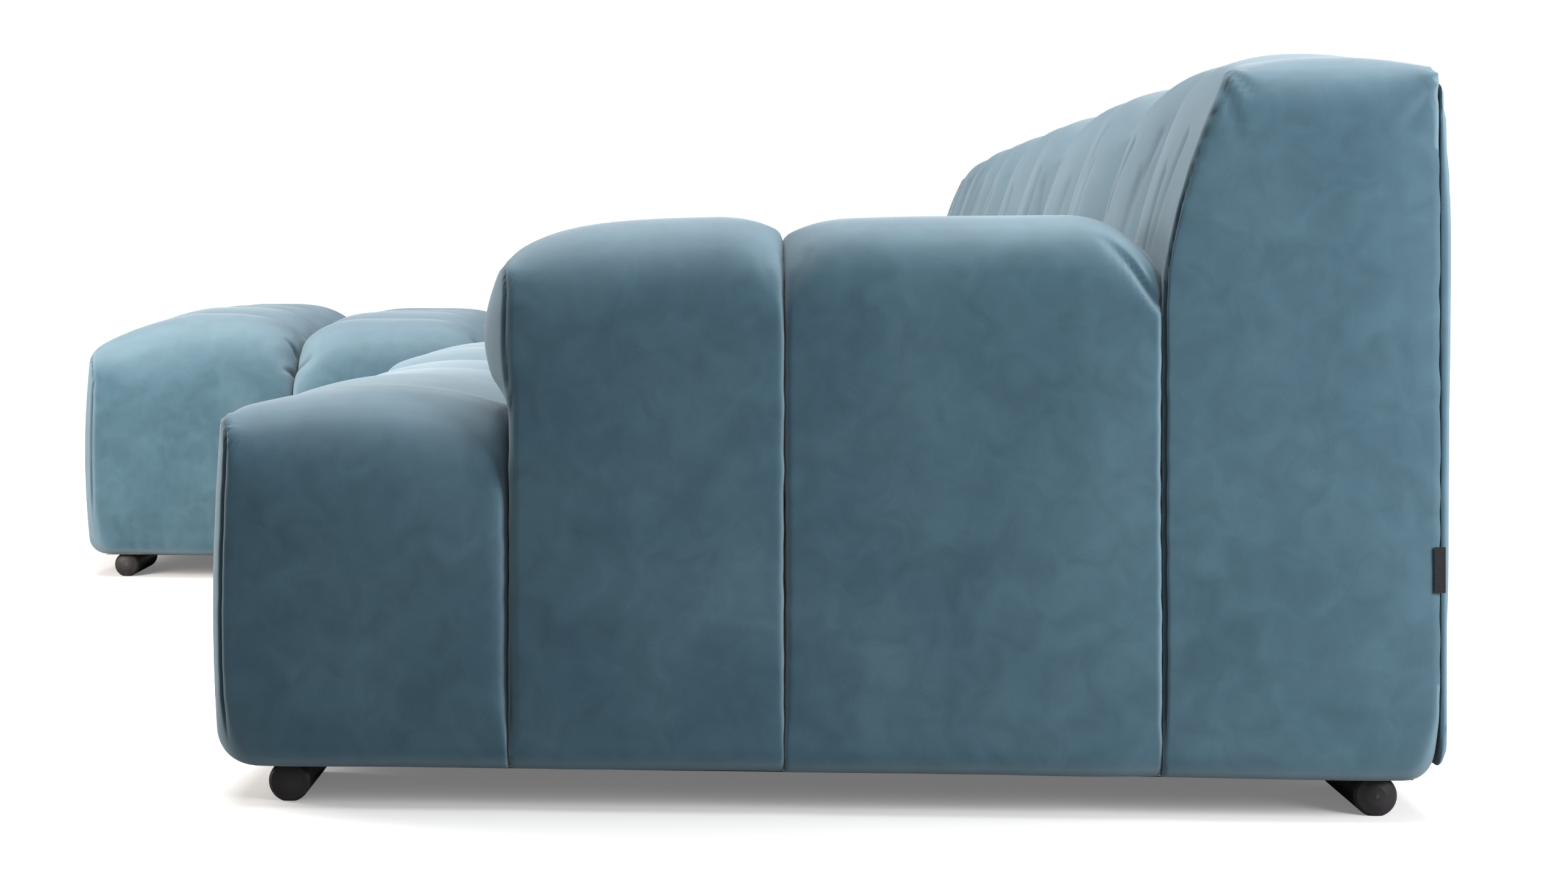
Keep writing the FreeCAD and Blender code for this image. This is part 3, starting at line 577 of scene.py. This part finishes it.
class ArmRear(ArmPad):
    """Rear pad of the arm, falling to a gathered corner at the backrest."""

    TAIL = 0.044
    TAIL_START = 0.78
    TAIL_POWER = 2.2
    FRONT_DROP = 0.005
    FRONT_SHARE = 0.55
    GROOVE_STRETCH = 1.3
    REAR_SWELL = 0.0020
    HALF_DEPTH = 0.19

    def __init__(self, node, seed):
        super().__init__(node, seed)
        self.end_rounds = (0.090, 0.090)
        self.panel_rounds = (0.009, 0.008)
        self.top_rounds = (0.010, 0.016)
        self.low_rounds = (0.003, 0.003)
        self.tips = (0.35, 0.45)
        self.seam_depths = (0, 0)
        end, rear = self.high[0], self.high[1]
        self.folds = self.groove_folds(self.low[1], 1) + [
            ((end - 0.008, rear - 0.003, 0.525), (end - 0.026, rear - 0.052, 0.592), 0.0050, 0.0070),
            ((end - 0.008, rear - 0.002, 0.540), (end - 0.020, rear - 0.020, 0.582), 0.0040, 0.0070),
        ]

    def top(self, x, y):
        u = np.clip((y - self.low[1]) / (self.high[1] - self.low[1]), 0, 1)
        tail = self.TAIL * np.clip((u - self.TAIL_START) / (1 - self.TAIL_START), 0, 1) ** self.TAIL_POWER
        drop = self.FRONT_DROP * fall(u / self.FRONT_SHARE, 2)
        groove = self.groove(x, u * self.GROOVE_STRETCH)
        return self.high[2] + self.RISE - drop - tail - groove - self.crown(x)

    def front(self, x, z):
        return np.full_like(x, self.low[1] - self.SWELL)

    def rear(self, x, z):
        return np.full_like(x, self.high[1] + self.REAR_SWELL)

    def right(self, y, z):
        return self.outer_end(np.abs(y - (self.low[1] + self.high[1]) / 2) / self.HALF_DEPTH, z)


class BackPad(Cushion):
    """Backrest pad: upright below, leaning back above, with a stitched line down its middle."""

    TOP_HEIGHT = 0.801
    PEAK = 0.825
    BROW = 0.715
    BROW_DROP = 0.036
    BROW_DROP_AT_END = 0.012
    REAR_DROP = 0.022
    REAR_DROP_AT_END = 0.010
    REAR_POWER = 2.6
    TOP_JOINT = 0.029
    TOP_LINE = 0.008
    CROWN = 0.026
    CROWN_POWER = 2.2
    END_DROP = 0.026
    END_REACH = 0.33
    FRONT_SWELL = 0.0016
    FRONT_JOINT = 0.036
    FRONT_LINE = 0.014
    JOINT_BAND = (0.40, 0.60)
    LOW_JOINT_SHARE = 0.4
    LEAN = 0.067
    LEAN_START = 0.525
    LEAN_HEIGHT = 0.238
    LEAN_POWER = 1.7
    END_FRONT = 0.80
    END_FRONT_REACH = 0.14
    END_REAR = 0.85
    END_REAR_REACH = 0.085
    END_TOP_BAND = (0.60, 0.80)
    END_TURNS = (0.003, 0.006, 0.002)
    SLACK_FOLDS = 7
    SLACK_INSET = 0.06
    SLACK_SLANT = 0.05
    SLACK_TOP = (0.66, 0.75)
    SLACK_LENGTH = (0.09, 0.18)
    SLACK_WIDTH = 0.0085
    SLACK_DEPTH = 0.0034

    def __init__(self, node, seed, left_end, right_end):
        super().__init__(node, seed)
        self.left_end = left_end
        self.right_end = right_end
        self.lines_x = [(self.low[0] + self.high[0]) / 2]
        self.end_rounds = (0.13 if left_end else 0.010, 0.085 if right_end else 0.010)
        self.panel_rounds = (0.008, 0.003)
        self.top_rounds = (0.028, 0.008)
        self.low_rounds = (0.003, 0.034)
        self.tips = (0.1, 0.1) if left_end else (0.72, 0.80)
        self.seam_depths = (SEAM_DEPTH, 0)
        self.core_reach = (CORE_REACH, 0.118, 0.09)
        if right_end:
            self.step = FINE_STEP
            self.gather_corners()
        self.add_slack_folds()

    def gather_corners(self):
        """Folds at the upper corners of the near end."""
        end, rear = self.high[0], self.high[1]
        self.folds = [
            ((end - 0.012, 0.724, 0.762), (end - 0.004, 0.742, 0.738), 0.0050, 0.0060),
            ((end - 0.006, 0.716, 0.748), (end - 0.001, 0.730, 0.690), 0.0050, 0.0044),
            ((end - 0.004, rear + 0.002, 0.735), (end - 0.002, rear - 0.030, 0.700), 0.0070, 0.0040),
            ((end - 0.030, 0.735, 0.768), (end - 0.080, 0.775, 0.785), 0.0090, 0.0040),
        ]

    def add_slack_folds(self):
        """Shallow folds that run down the front, where the cover is slack."""
        source = np.random.default_rng(self.seed)
        for _ in range(self.SLACK_FOLDS):
            x = source.uniform(self.low[0] + self.SLACK_INSET, self.high[0] - self.SLACK_INSET)
            upper = source.uniform(*self.SLACK_TOP)
            lower = upper - source.uniform(*self.SLACK_LENGTH)
            xs = np.array((x, x + source.uniform(-self.SLACK_SLANT, self.SLACK_SLANT)))
            zs = np.array((upper, lower))
            start, end = np.stack((xs, self.front(xs, zs), zs), axis=1)
            self.folds.append((start, end, self.SLACK_WIDTH, self.SLACK_DEPTH))

    def joints(self, depth):
        """The depth of the joints at both sides, none at a free end."""
        return 0 if self.left_end else depth, 0 if self.right_end else depth

    def top(self, x, y):
        forward = np.clip((self.PEAK - y) / (self.PEAK - self.BROW), 0, 1.4)
        backward = np.clip((y - self.PEAK) / (self.high[1] - self.PEAK), 0, 1.2)
        sides = self.channels(x, *self.joints(self.TOP_JOINT), self.TOP_LINE)
        ends = self.near_end(x)
        across = 2 * (x - self.low[0]) / (self.high[0] - self.low[0]) - 1
        free = self.left_end * (across < 0) + self.right_end * (across > 0)
        crown = self.CROWN * np.abs(across) ** self.CROWN_POWER * (1 - free)
        height = self.TOP_HEIGHT - self.END_DROP * ends - sides - crown
        brow = self.BROW_DROP + (self.BROW_DROP_AT_END - self.BROW_DROP) * ends
        rear = self.REAR_DROP + (self.REAR_DROP_AT_END - self.REAR_DROP) * ends
        return height - brow * forward ** 2 - rear * backward ** self.REAR_POWER

    def near_end(self, x):
        """1 at a free end of the backrest, 0 away from it."""
        ends = np.zeros_like(x)
        if self.right_end:
            ends = ends + ease(x, self.high[0] - self.END_REACH, self.high[0])
        if self.left_end:
            ends = ends + ease(-x, -self.low[0] - self.END_REACH, -self.low[0])
        return ends

    def front(self, x, z):
        rise = np.clip((z - self.LEAN_START) / self.LEAN_HEIGHT, 0, 1.4)
        sides = self.channels(x, *self.joints(self.FRONT_JOINT), self.FRONT_LINE)
        upper = ease(z, *self.JOINT_BAND)
        sides = sides * (self.LOW_JOINT_SHARE + (1 - self.LOW_JOINT_SHARE) * upper)
        return self.low[1] - self.FRONT_SWELL + self.LEAN * rise ** self.LEAN_POWER + sides

    def rear(self, x, z):
        return np.full_like(x, self.high[1] + COVER_SHIFT)

    def right(self, y, z):
        if not self.right_end:
            return np.full_like(y, self.high[0])
        return self.high[0] - self.end_curve(y, z)

    def left(self, y, z):
        if not self.left_end:
            return np.full_like(y, self.low[0])
        return self.low[0] + self.end_curve(y, z)

    def end_curve(self, y, z):
        """How far a free end turns in, towards its front, its rear and its top."""
        forward = np.clip(self.END_FRONT - y, 0, 1) / self.END_FRONT_REACH
        backward = np.clip(y - self.END_REAR, 0, 1) / self.END_REAR_REACH
        upward = ease(z, *self.END_TOP_BAND)
        front_turn, rear_turn, top_turn = self.END_TURNS
        return front_turn * forward ** 3 + rear_turn * backward ** 2 + top_turn * upward


class ChaiseRow(Cushion):
    """Row of four channels across the chaise."""

    CHANNELS = 4
    TOP_LINE = 0.018
    GROOVE = 0.044
    GROOVE_POWER = 4.2
    FRONT_DROP = 0.064
    FRONT_POWER = 1.7
    END_DROP = 0.016
    END_REACH = 0.32
    END_POWER = 1.5
    BELLY = 0.008
    BELLY_TURN = 0.012
    BELLY_LEVEL = 0.23
    BELLY_REACH = 0.19
    FRONT_LINE = 0.010
    FRONT_END = 0.026
    FRONT_END_REACH = 0.08
    END_LEVEL = 0.22
    END_HEIGHT = 0.2
    SIDE_TURN = 0.005
    LEVEL_TURN = 0.006
    PUCKERS = (0.075, 0.096, 0.121, 0.150)
    PUCKER_HEIGHTS = (0.012, 0.055)
    PUCKER_SLANT = 0.008
    PUCKER_SIZE = (0.0055, 0.0050)
    PINCH_INSET = 0.060
    PINCH_HEIGHT = 0.396
    PINCH_SIZE = (0.024, 0.010)
    CREASE_SIZE = (0.0052, 0.0110)
    # Creases beside a groove, as distance from it and height, for the row before it and the row behind it
    CREASES = {-1: (((0.001, 0.396), (0.018, 0.426)), ((0.001, 0.362), (0.014, 0.374))),
               1: (((0.001, 0.364), (0.028, 0.396)), ((0.001, 0.398), (0.008, 0.416)))}

    def __init__(self, node, seed, is_front, height):
        super().__init__(node, seed)
        self.is_front = is_front
        self.height = height
        self.step = FINE_STEP
        width = self.high[0] - self.low[0]
        self.lines_x = [self.low[0] + width * line / self.CHANNELS for line in range(1, self.CHANNELS)]
        self.end_rounds = (0.06, 0.17)
        self.core_reach = (0.15, 0.09, 0.15)
        self.tips = (0.72 if is_front else 0, 0)
        self.panel_rounds = (0.010, 0.012)
        self.top_rounds = (0.016, 0.016)
        self.low_rounds = (0.032 if is_front else 0.010, 0.010)
        self.seam_depths = (SEAM_DEPTH if is_front else 0, 0)
        if is_front:
            self.pucker_hem()
        self.gather_at(self.high[1], -1)
        if not is_front:
            self.gather_at(self.low[1], 1)

    def pucker_hem(self):
        """Short folds at the hem, behind the front corner of the near end."""
        end, front = self.high[0], self.low[1]
        lower, upper = (self.low[2] + height for height in self.PUCKER_HEIGHTS)
        for inset in self.PUCKERS:
            start = (end, front + inset, lower)
            stop = (end, front + inset - self.PUCKER_SLANT, upper)
            self.folds.append((start, stop, *self.PUCKER_SIZE))

    def gather_at(self, line, side):
        """Pinch and creases where the groove between two rows runs down over the near end."""
        place = (self.high[0] - self.PINCH_INSET, line, self.PINCH_HEIGHT)
        self.pinches.append((place, *self.PINCH_SIZE))
        for start, end in self.CREASES[side]:
            places = [self.on_near_end(line + side * inset, z) for inset, z in (start, end)]
            self.folds.append((*places, *self.CREASE_SIZE))

    def on_near_end(self, y, z):
        """Point of the near end's cover at one depth and height."""
        inner = (self.low[0] + self.high[0]) / 2
        outer = self.high[0] + OUTSIDE
        for _ in range(SEARCH_STEPS):
            middle = (inner + outer) / 2
            if self.cover(np.array([(middle, y, z)]))[0][0] > 0:
                outer = middle
            else:
                inner = middle
        return inner, y, z

    def top(self, x, y):
        v = self.from_middle(y)
        sides = self.channels(x, self.TOP_LINE, self.TOP_LINE, self.TOP_LINE, self.CHANNELS)
        drop = self.GROOVE * v ** self.GROOVE_POWER
        if self.is_front:
            middle = (self.low[1] + self.high[1]) / 2
            drop = np.where(y < middle, self.FRONT_DROP * v ** self.FRONT_POWER, drop)
        near_end = fall((self.high[0] - x) / self.END_REACH, self.END_POWER)
        return self.height - drop - sides - self.END_DROP * near_end

    def front(self, x, z):
        if not self.is_front:
            return np.full_like(x, self.low[1])
        sides = self.channels(x, 0, 0, self.FRONT_LINE, self.CHANNELS)
        turn = self.BELLY_TURN * (np.abs(z - self.BELLY_LEVEL) / self.BELLY_REACH) ** 2
        ends = self.FRONT_END * fall(self.from_end(x) / self.FRONT_END_REACH)
        return self.low[1] - self.BELLY + turn + sides + ends

    def right(self, y, z):
        return self.high[0] - self.end_curve(y, z)

    def left(self, y, z):
        return self.low[0] + self.end_curve(y, z)

    def end_curve(self, y, z):
        """How far an end turns in, towards the grooves, its top and its hem."""
        level = np.abs(z - self.END_LEVEL) / self.END_HEIGHT
        return self.SIDE_TURN * self.from_middle(y) ** 3 + self.LEVEL_TURN * level ** 2


class RearCover(Cushion):
    """Thin padded panel behind the backrest."""

    GAP = 0.0004
    DEEPER = 0.0070
    HIGHER = 0.008
    LOWER_FLAT = 0.004
    FLAT_BAND = (0.12, 0.62)
    END_EDGE = 0.001
    END_REACH = 0.05
    TOP_EDGE = 0.0090
    TOP_REACH = 0.20
    HEM = 0.004
    HEM_REACH = 0.06

    def __init__(self, node, seed, left_turn, right_turn):
        super().__init__(node, seed)
        self.step = PANEL_STEP
        self.low = self.low + np.array((left_turn, COVER_SHIFT + self.GAP, 0))
        self.high = self.high + np.array((-right_turn, self.DEEPER, self.HIGHER))
        self.end_rounds = (0.003, 0.003)
        self.panel_rounds = (0.001, 0.008)
        self.top_rounds = (0.001, 0.010)
        self.low_rounds = (0.001, 0.006)
        self.seam_depths = (0, 0)
        self.gathers = 0
        self.lumps = 0.0003

    def rear(self, x, z):
        flat = 1 - ease(z, *self.FLAT_BAND)
        edge = self.END_EDGE * fall(self.from_end(x) / self.END_REACH)
        edge = edge + self.TOP_EDGE * fall((self.high[2] - z) / self.TOP_REACH)
        hem = self.HEM * fall((z - self.low[2]) / self.HEM_REACH)
        return self.high[1] - self.LOWER_FLAT * flat - edge * (1 - flat) - hem


# Materials

def new_material(name, roughness):
    material = bpy.data.materials.new(name)
    material.use_nodes = True
    shader = material.node_tree.nodes["Principled BSDF"]
    shader.inputs["Roughness"].default_value = roughness
    return material, material.node_tree, shader


def add_node(tree, kind, **inputs):
    node = tree.nodes.new(kind)
    for key, value in inputs.items():
        node.inputs[key.replace("_", " ")].default_value = value
    return node


def grey(value):
    return (value, value, value, 1)


def place_node(tree):
    return tree.nodes.new("ShaderNodeTexCoord").outputs["Object"]


def ramp_node(tree, source, stops):
    ramp = tree.nodes.new("ShaderNodeValToRGB")
    elements = ramp.color_ramp.elements
    elements[0].position, elements[0].color = stops[0]
    elements[1].position, elements[1].color = stops[-1]
    for position, color in stops[1:-1]:
        element = elements.new(position)
        element.color = color
    tree.links.new(source, ramp.inputs["Fac"])
    return ramp.outputs["Color"]


# Sockets of a colour mix, by their places in its lists
MIX_FACTOR = 0
MIX_FIRST = 6
MIX_SECOND = 7
MIX_RESULT = 2


def mix_colors(tree, kind, factor, first, second):
    mix = tree.nodes.new("ShaderNodeMix")
    mix.data_type = "RGBA"
    mix.blend_type = kind
    for value, place in ((factor, MIX_FACTOR), (first, MIX_FIRST), (second, MIX_SECOND)):
        socket = mix.inputs[place]
        if isinstance(value, (int, float, tuple)):
            socket.default_value = value
        else:
            tree.links.new(value, socket)
    return mix.outputs[MIX_RESULT]


def math_node(tree, operation, first, second):
    node = tree.nodes.new("ShaderNodeMath")
    node.operation = operation
    tree.links.new(first, node.inputs[0])
    tree.links.new(second, node.inputs[1])
    return node.outputs[0]


def bump_node(tree, height, strength, distance):
    node = tree.nodes.new("ShaderNodeBump")
    node.inputs["Strength"].default_value = strength
    node.inputs["Distance"].default_value = distance
    tree.links.new(height, node.inputs["Height"])
    return node.outputs["Normal"]


def velvet():
    """Short blue pile with brushed marks, painted shade darkening its seams and folds, and a painted sheen
    that pales the colour where the surface turns away from the view.
    """
    material, tree, shader = new_material("velvet", 0.82)
    place = place_node(tree)
    brushed = add_node(tree, "ShaderNodeTexNoise", Scale=5.5, Detail=4.0, Roughness=0.55, Distortion=0.6)
    tree.links.new(place, brushed.inputs["Vector"])
    tone = ramp_node(tree, brushed.outputs["Fac"], [
        (0.25, (0.016, 0.038, 0.054, 1)),
        (0.5, (0.021, 0.046, 0.062, 1)),
        (0.75, (0.028, 0.056, 0.074, 1))])
    marks = add_node(tree, "ShaderNodeTexNoise", Scale=26.0, Detail=3.0, Roughness=0.5, Distortion=0.8)
    tree.links.new(place, marks.inputs["Vector"])
    mark_tone = ramp_node(tree, marks.outputs["Fac"], [
        (0.3, (0.86, 0.87, 0.88, 1)), (0.7, (1.12, 1.11, 1.10, 1))])
    tone = mix_colors(tree, "MULTIPLY", 1.0, tone, mark_tone)
    # Painted sheen: the colour pales towards a light blue grey where the surface is seen at a grazing
    # angle
    facing = tree.nodes.new("ShaderNodeLayerWeight")
    facing.inputs["Blend"].default_value = 0.30
    painted_sheen = ramp_node(tree, facing.outputs["Facing"], [
        (0.03, grey(0)), (0.10, grey(0.06)), (0.20, grey(0.15)), (0.36, grey(0.19)),
        (0.60, grey(0.14)), (0.84, grey(0.14)), (1.0, grey(0.30))])
    tone = mix_colors(tree, "MIX", painted_sheen, tone, (0.235, 0.315, 0.365, 1))
    # Painted shade: seams and folds are darkened to a near black blue by the crease attribute
    crease = tree.nodes.new("ShaderNodeAttribute")
    crease.attribute_name = "crease"
    tone = mix_colors(tree, "MIX", crease.outputs["Fac"], tone, (0.008, 0.016, 0.023, 1))
    tree.links.new(tone, shader.inputs["Base Color"])
    pile = add_node(tree, "ShaderNodeTexNoise", Scale=900.0, Detail=2.0, Roughness=0.6)
    tree.links.new(place, pile.inputs["Vector"])
    normal = bump_node(tree, pile.outputs["Fac"], strength=0.25, distance=0.0008)
    tree.links.new(normal, shader.inputs["Normal"])
    shader.inputs["Specular IOR Level"].default_value = 0.15
    shader.inputs["Sheen Weight"].default_value = 0.15
    shader.inputs["Sheen Roughness"].default_value = 0.42
    shader.inputs["Sheen Tint"].default_value = (0.80, 0.90, 0.96, 1)
    return material


def wood(name, pale, dark, scale):
    """Sawn timber or board with its grain along the length."""
    material, tree, shader = new_material(name, 0.62)
    stretch = tree.nodes.new("ShaderNodeMapping")
    stretch.inputs["Scale"].default_value = scale
    tree.links.new(place_node(tree), stretch.inputs["Vector"])
    grain = add_node(tree, "ShaderNodeTexNoise", Scale=6.0, Detail=5.0, Roughness=0.6, Distortion=1.4)
    tree.links.new(stretch.outputs["Vector"], grain.inputs["Vector"])
    tone = ramp_node(tree, grain.outputs["Fac"], [(0.3, dark), (0.7, pale)])
    tree.links.new(tone, shader.inputs["Base Color"])
    normal = bump_node(tree, grain.outputs["Fac"], strength=0.2, distance=0.001)
    tree.links.new(normal, shader.inputs["Normal"])
    return material


def woven(name, pale, dark, pitch):
    """Flat woven band or cloth."""
    material, tree, shader = new_material(name, 0.85)
    shader.inputs["Specular IOR Level"].default_value = 0.1
    place = place_node(tree)
    waves = []
    for direction in ("X", "Z"):
        wave = add_node(tree, "ShaderNodeTexWave", Scale=pitch, Distortion=0.4)
        wave.bands_direction = direction
        tree.links.new(place, wave.inputs["Vector"])
        waves.append(wave.outputs["Color"])
    weave = mix_colors(tree, "MULTIPLY", 1.0, waves[0], waves[1])
    tone = ramp_node(tree, weave, [(0.1, dark), (0.8, pale)])
    tree.links.new(tone, shader.inputs["Base Color"])
    normal = bump_node(tree, weave, strength=0.3, distance=0.0004)
    tree.links.new(normal, shader.inputs["Normal"])
    return material


def plated_steel():
    material, tree, shader = new_material("steel", 0.35)
    scratches = add_node(tree, "ShaderNodeTexNoise", Scale=60.0, Detail=4.0)
    tree.links.new(place_node(tree), scratches.inputs["Vector"])
    tone = ramp_node(tree, scratches.outputs["Fac"], [
        (0.3, (0.52, 0.52, 0.51, 1)), (0.7, (0.66, 0.66, 0.64, 1))])
    tree.links.new(tone, shader.inputs["Base Color"])
    shader.inputs["Metallic"].default_value = 1.0
    return material


def black_lacquer():
    """Satin black lacquer, faintly uneven."""
    material, tree, shader = new_material("black_lacquer", 0.5)
    shader.inputs["Specular IOR Level"].default_value = 0.12
    uneven = add_node(tree, "ShaderNodeTexNoise", Scale=35.0, Detail=3.0)
    tree.links.new(place_node(tree), uneven.inputs["Vector"])
    tone = ramp_node(tree, uneven.outputs["Fac"], [
        (0.3, (0.009, 0.008, 0.009, 1)), (0.7, (0.015, 0.014, 0.015, 1))])
    tree.links.new(tone, shader.inputs["Base Color"])
    rough = ramp_node(tree, uneven.outputs["Fac"], [(0.3, grey(0.36)), (0.7, grey(0.50))])
    tree.links.new(rough, shader.inputs["Roughness"])
    return material


MATERIALS = {
    "velvet": velvet(),
    "pine": wood("pine", (0.62, 0.43, 0.24, 1), (0.42, 0.26, 0.13, 1), (1.2, 9.0, 9.0)),
    "plywood": wood("plywood", (0.60, 0.42, 0.25, 1), (0.46, 0.30, 0.16, 1), (4.0, 4.0, 26.0)),
    "fibre_board": wood("fibre_board", (0.20, 0.12, 0.065, 1), (0.13, 0.075, 0.04, 1), (30.0, 30.0, 30.0)),
    "webbing": woven("webbing", (0.34, 0.29, 0.21, 1), (0.17, 0.14, 0.10, 1), 60.0),
    "lining": woven("lining", (0.022, 0.022, 0.023, 1), (0.008, 0.008, 0.009, 1), 130.0),
    "tape": woven("tape", (0.020, 0.019, 0.020, 1), (0.006, 0.006, 0.007, 1), 160.0),
    "steel": plated_steel(),
    "black_lacquer": black_lacquer(),
}


def finish_frame_nodes():
    for part in frame["record"]["subparts"]:
        node = frame["nodes"][part["node"]]
        material = MATERIALS[part["material_slot"]]
        if not node.material_slots:
            node.data.materials.append(material)
        for slot in node.material_slots:
            slot.material = material


def shade_creases(piece, cushion):
    """Keep how deep each point lies in a seam or fold, for the painted shade that darkens the velvet
    there.
    """
    points = np.array([vertex.co[:] for vertex in piece.data.vertices])
    crease = piece.data.attributes.new("crease", "FLOAT", "POINT")
    crease.data.foreach_set("value", cushion.cover(points)[1])


def finish_cushion(cushion, body, rooms):
    points, faces = cushion.mesh_data()
    piece = new_object(cushion.node + "_cover", points, faces)
    hollow(piece, rooms)
    shade_creases(piece, cushion)
    piece.data.shade_smooth()
    piece.data.set_sharp_from_angle(angle=SHARP_ANGLE)
    piece.data.materials.clear()
    piece.data.materials.append(MATERIALS["velvet"])
    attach(piece, body)
    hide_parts(cushion.node)


# First seed of each kind of cushion
BLOCK_SEED = 11
SEAT_SEED = 21
BACK_SEED = 31
ARM_SEED = 41
ROW_SEED = 51
CHAISE_BACK_SEED = 61
PANEL_SEED = 71

# Forms that differ from one cushion to the next
MIDDLE_SAG = 0.008
FRONT_ROW_HEIGHT = 0.480
ROW_HEIGHT = 0.471
PANEL_END_TURN = 0.005


def make_seat():
    """Front blocks, seat pads and back pads of the seat module, from the chaise to the arm."""
    for index, side in enumerate(("left", "middle", "right")):
        is_end = side == "right"
        sag = MIDDLE_SAG if side == "middle" else 0
        block = SeatBlock("seat_front_block_" + side, BLOCK_SEED + index, is_end, sag)
        finish_cushion(block, "sofa", SOFA_ROOMS)
        seat_pad = SeatPad("seat_pad_" + side, SEAT_SEED + index)
        finish_cushion(seat_pad, "sofa", SOFA_ROOMS)
        back_pad = BackPad("sofa_back_pad_" + side, BACK_SEED + index, False, is_end)
        finish_cushion(back_pad, "sofa", SOFA_ROOMS)


def make_arm():
    finish_cushion(ArmFront("arm_pad_front", ARM_SEED), "sofa", ARM_ROOMS)
    finish_cushion(ArmRear("arm_pad_rear", ARM_SEED + 1), "sofa", ARM_ROOMS)


def make_chaise():
    """Four rows and two back pads."""
    for index in range(4):
        is_front = index == 0
        height = FRONT_ROW_HEIGHT if is_front else ROW_HEIGHT
        pad = ChaiseRow("chaise_pad_row_" + str(index + 1), ROW_SEED + index, is_front, height)
        finish_cushion(pad, "chaise", CHAISE_ROOMS + hook_rooms())
    far_pad = BackPad("chaise_back_pad_left", CHAISE_BACK_SEED, True, False)
    finish_cushion(far_pad, "chaise", CHAISE_ROOMS)
    near_pad = BackPad("chaise_back_pad_right", CHAISE_BACK_SEED + 1, False, False)
    finish_cushion(near_pad, "chaise", CHAISE_ROOMS)


def make_rear_covers():
    sofa_panel = RearCover("sofa_rear_cover", PANEL_SEED, 0, PANEL_END_TURN)
    finish_cushion(sofa_panel, "sofa", [])
    chaise_panel = RearCover("chaise_rear_cover", PANEL_SEED + 1, PANEL_END_TURN, 0)
    finish_cushion(chaise_panel, "chaise", [])


# Stage, light and camera

def make_floor():
    """Pale floor that turns to plain white away from the sofa, for the camera only."""
    size = 60.0
    points = np.array([(-size, -size, 0), (size, -size, 0), (size, size, 0), (-size, size, 0)])
    floor = new_object("floor", points, np.array([(0, 1, 2, 3)]))
    material, tree, shader = new_material("floor", 0.9)
    shader.inputs["Emission Color"].default_value = (1, 1, 1, 1)
    rays = tree.nodes.new("ShaderNodeLightPath")
    seen = rays.outputs["Is Camera Ray"]
    tone = mix_colors(tree, "MIX", seen, grey(0.25), grey(0.35))
    tree.links.new(tone, shader.inputs["Base Color"])
    distance = tree.nodes.new("ShaderNodeVectorMath")
    distance.operation = "LENGTH"
    tree.links.new(place_node(tree), distance.inputs[0])
    white_far_off = add_node(tree, "ShaderNodeMapRange",
                             From_Min=1.45, From_Max=3.4, To_Min=0.17, To_Max=1.0)
    white_far_off.interpolation_type = "SMOOTHSTEP"
    tree.links.new(distance.outputs["Value"], white_far_off.inputs["Value"])
    lift = math_node(tree, "MULTIPLY", seen, white_far_off.outputs["Result"])
    tree.links.new(lift, shader.inputs["Emission Strength"])
    floor.data.materials.append(material)


def make_world():
    """Even white room, a little dimmer as a light than as it is seen."""
    world = bpy.data.worlds.new("studio")
    bpy.context.scene.world = world
    world.use_nodes = True
    tree = world.node_tree
    background = tree.nodes["Background"]
    rays = tree.nodes.new("ShaderNodeLightPath")
    seen = math_node(tree, "MAXIMUM", rays.outputs["Is Camera Ray"], rays.outputs["Is Glossy Ray"])
    seen = math_node(tree, "MAXIMUM", seen, rays.outputs["Is Transmission Ray"])
    strength = add_node(tree, "ShaderNodeMapRange", To_Min=0.70, To_Max=1.0)
    tree.links.new(seen, strength.inputs["Value"])
    tree.links.new(strength.outputs["Result"], background.inputs["Strength"])
    background.inputs["Color"].default_value = (1, 1, 1, 1)


def add_softbox(name, place, aim, size, power, color=(1, 1, 1)):
    lamp = bpy.data.lights.new(name, "AREA")
    lamp.shape = "RECTANGLE"
    lamp.size, lamp.size_y = size
    lamp.color = color
    lamp.energy = power
    holder = bpy.data.objects.new(name, lamp)
    holder.location = place
    holder.rotation_euler = (Vector(aim) - Vector(place)).to_track_quat("-Z", "Y").to_euler()
    bpy.context.scene.collection.objects.link(holder)


def make_lights():
    add_softbox("overhead", place=(0.1, 0.0, 3.8), aim=(0.1, 0.0, 0.0), size=(5.0, 3.6), power=420)
    add_softbox("front", place=(0.9, -1.5, 0.75), aim=(-0.45, -0.65, 0.3), size=(0.9, 0.8), power=120,
                color=(1.0, 0.92, 0.85))
    add_softbox("side", place=(2.4, 1.9, 0.9), aim=(1.4, 0.7, 0.4), size=(0.8, 1.0), power=100)


def make_camera():
    camera = bpy.data.cameras.new("photograph")
    camera.sensor_fit = "HORIZONTAL"
    camera.sensor_width = 36.0
    camera.lens = FOCAL_PIXELS * camera.sensor_width / PHOTO_WIDTH
    camera.shift_x = (PHOTO_WIDTH / 2 - AXIS_PIXEL[0]) / PHOTO_WIDTH
    camera.shift_y = (AXIS_PIXEL[1] - PHOTO_HEIGHT / 2) / PHOTO_WIDTH
    holder = bpy.data.objects.new("photograph", camera)
    holder.location = CAMERA_PLACE
    holder.rotation_euler = (math.radians(90), 0, math.radians(90) - CAMERA_YAW)
    bpy.context.scene.collection.objects.link(holder)
    bpy.context.scene.camera = holder


bpy.context.scene.view_settings.view_transform = "Standard"
finish_frame_nodes()
make_seat()
make_arm()
make_chaise()
make_rear_covers()
make_floor()
make_world()
make_lights()
make_camera()
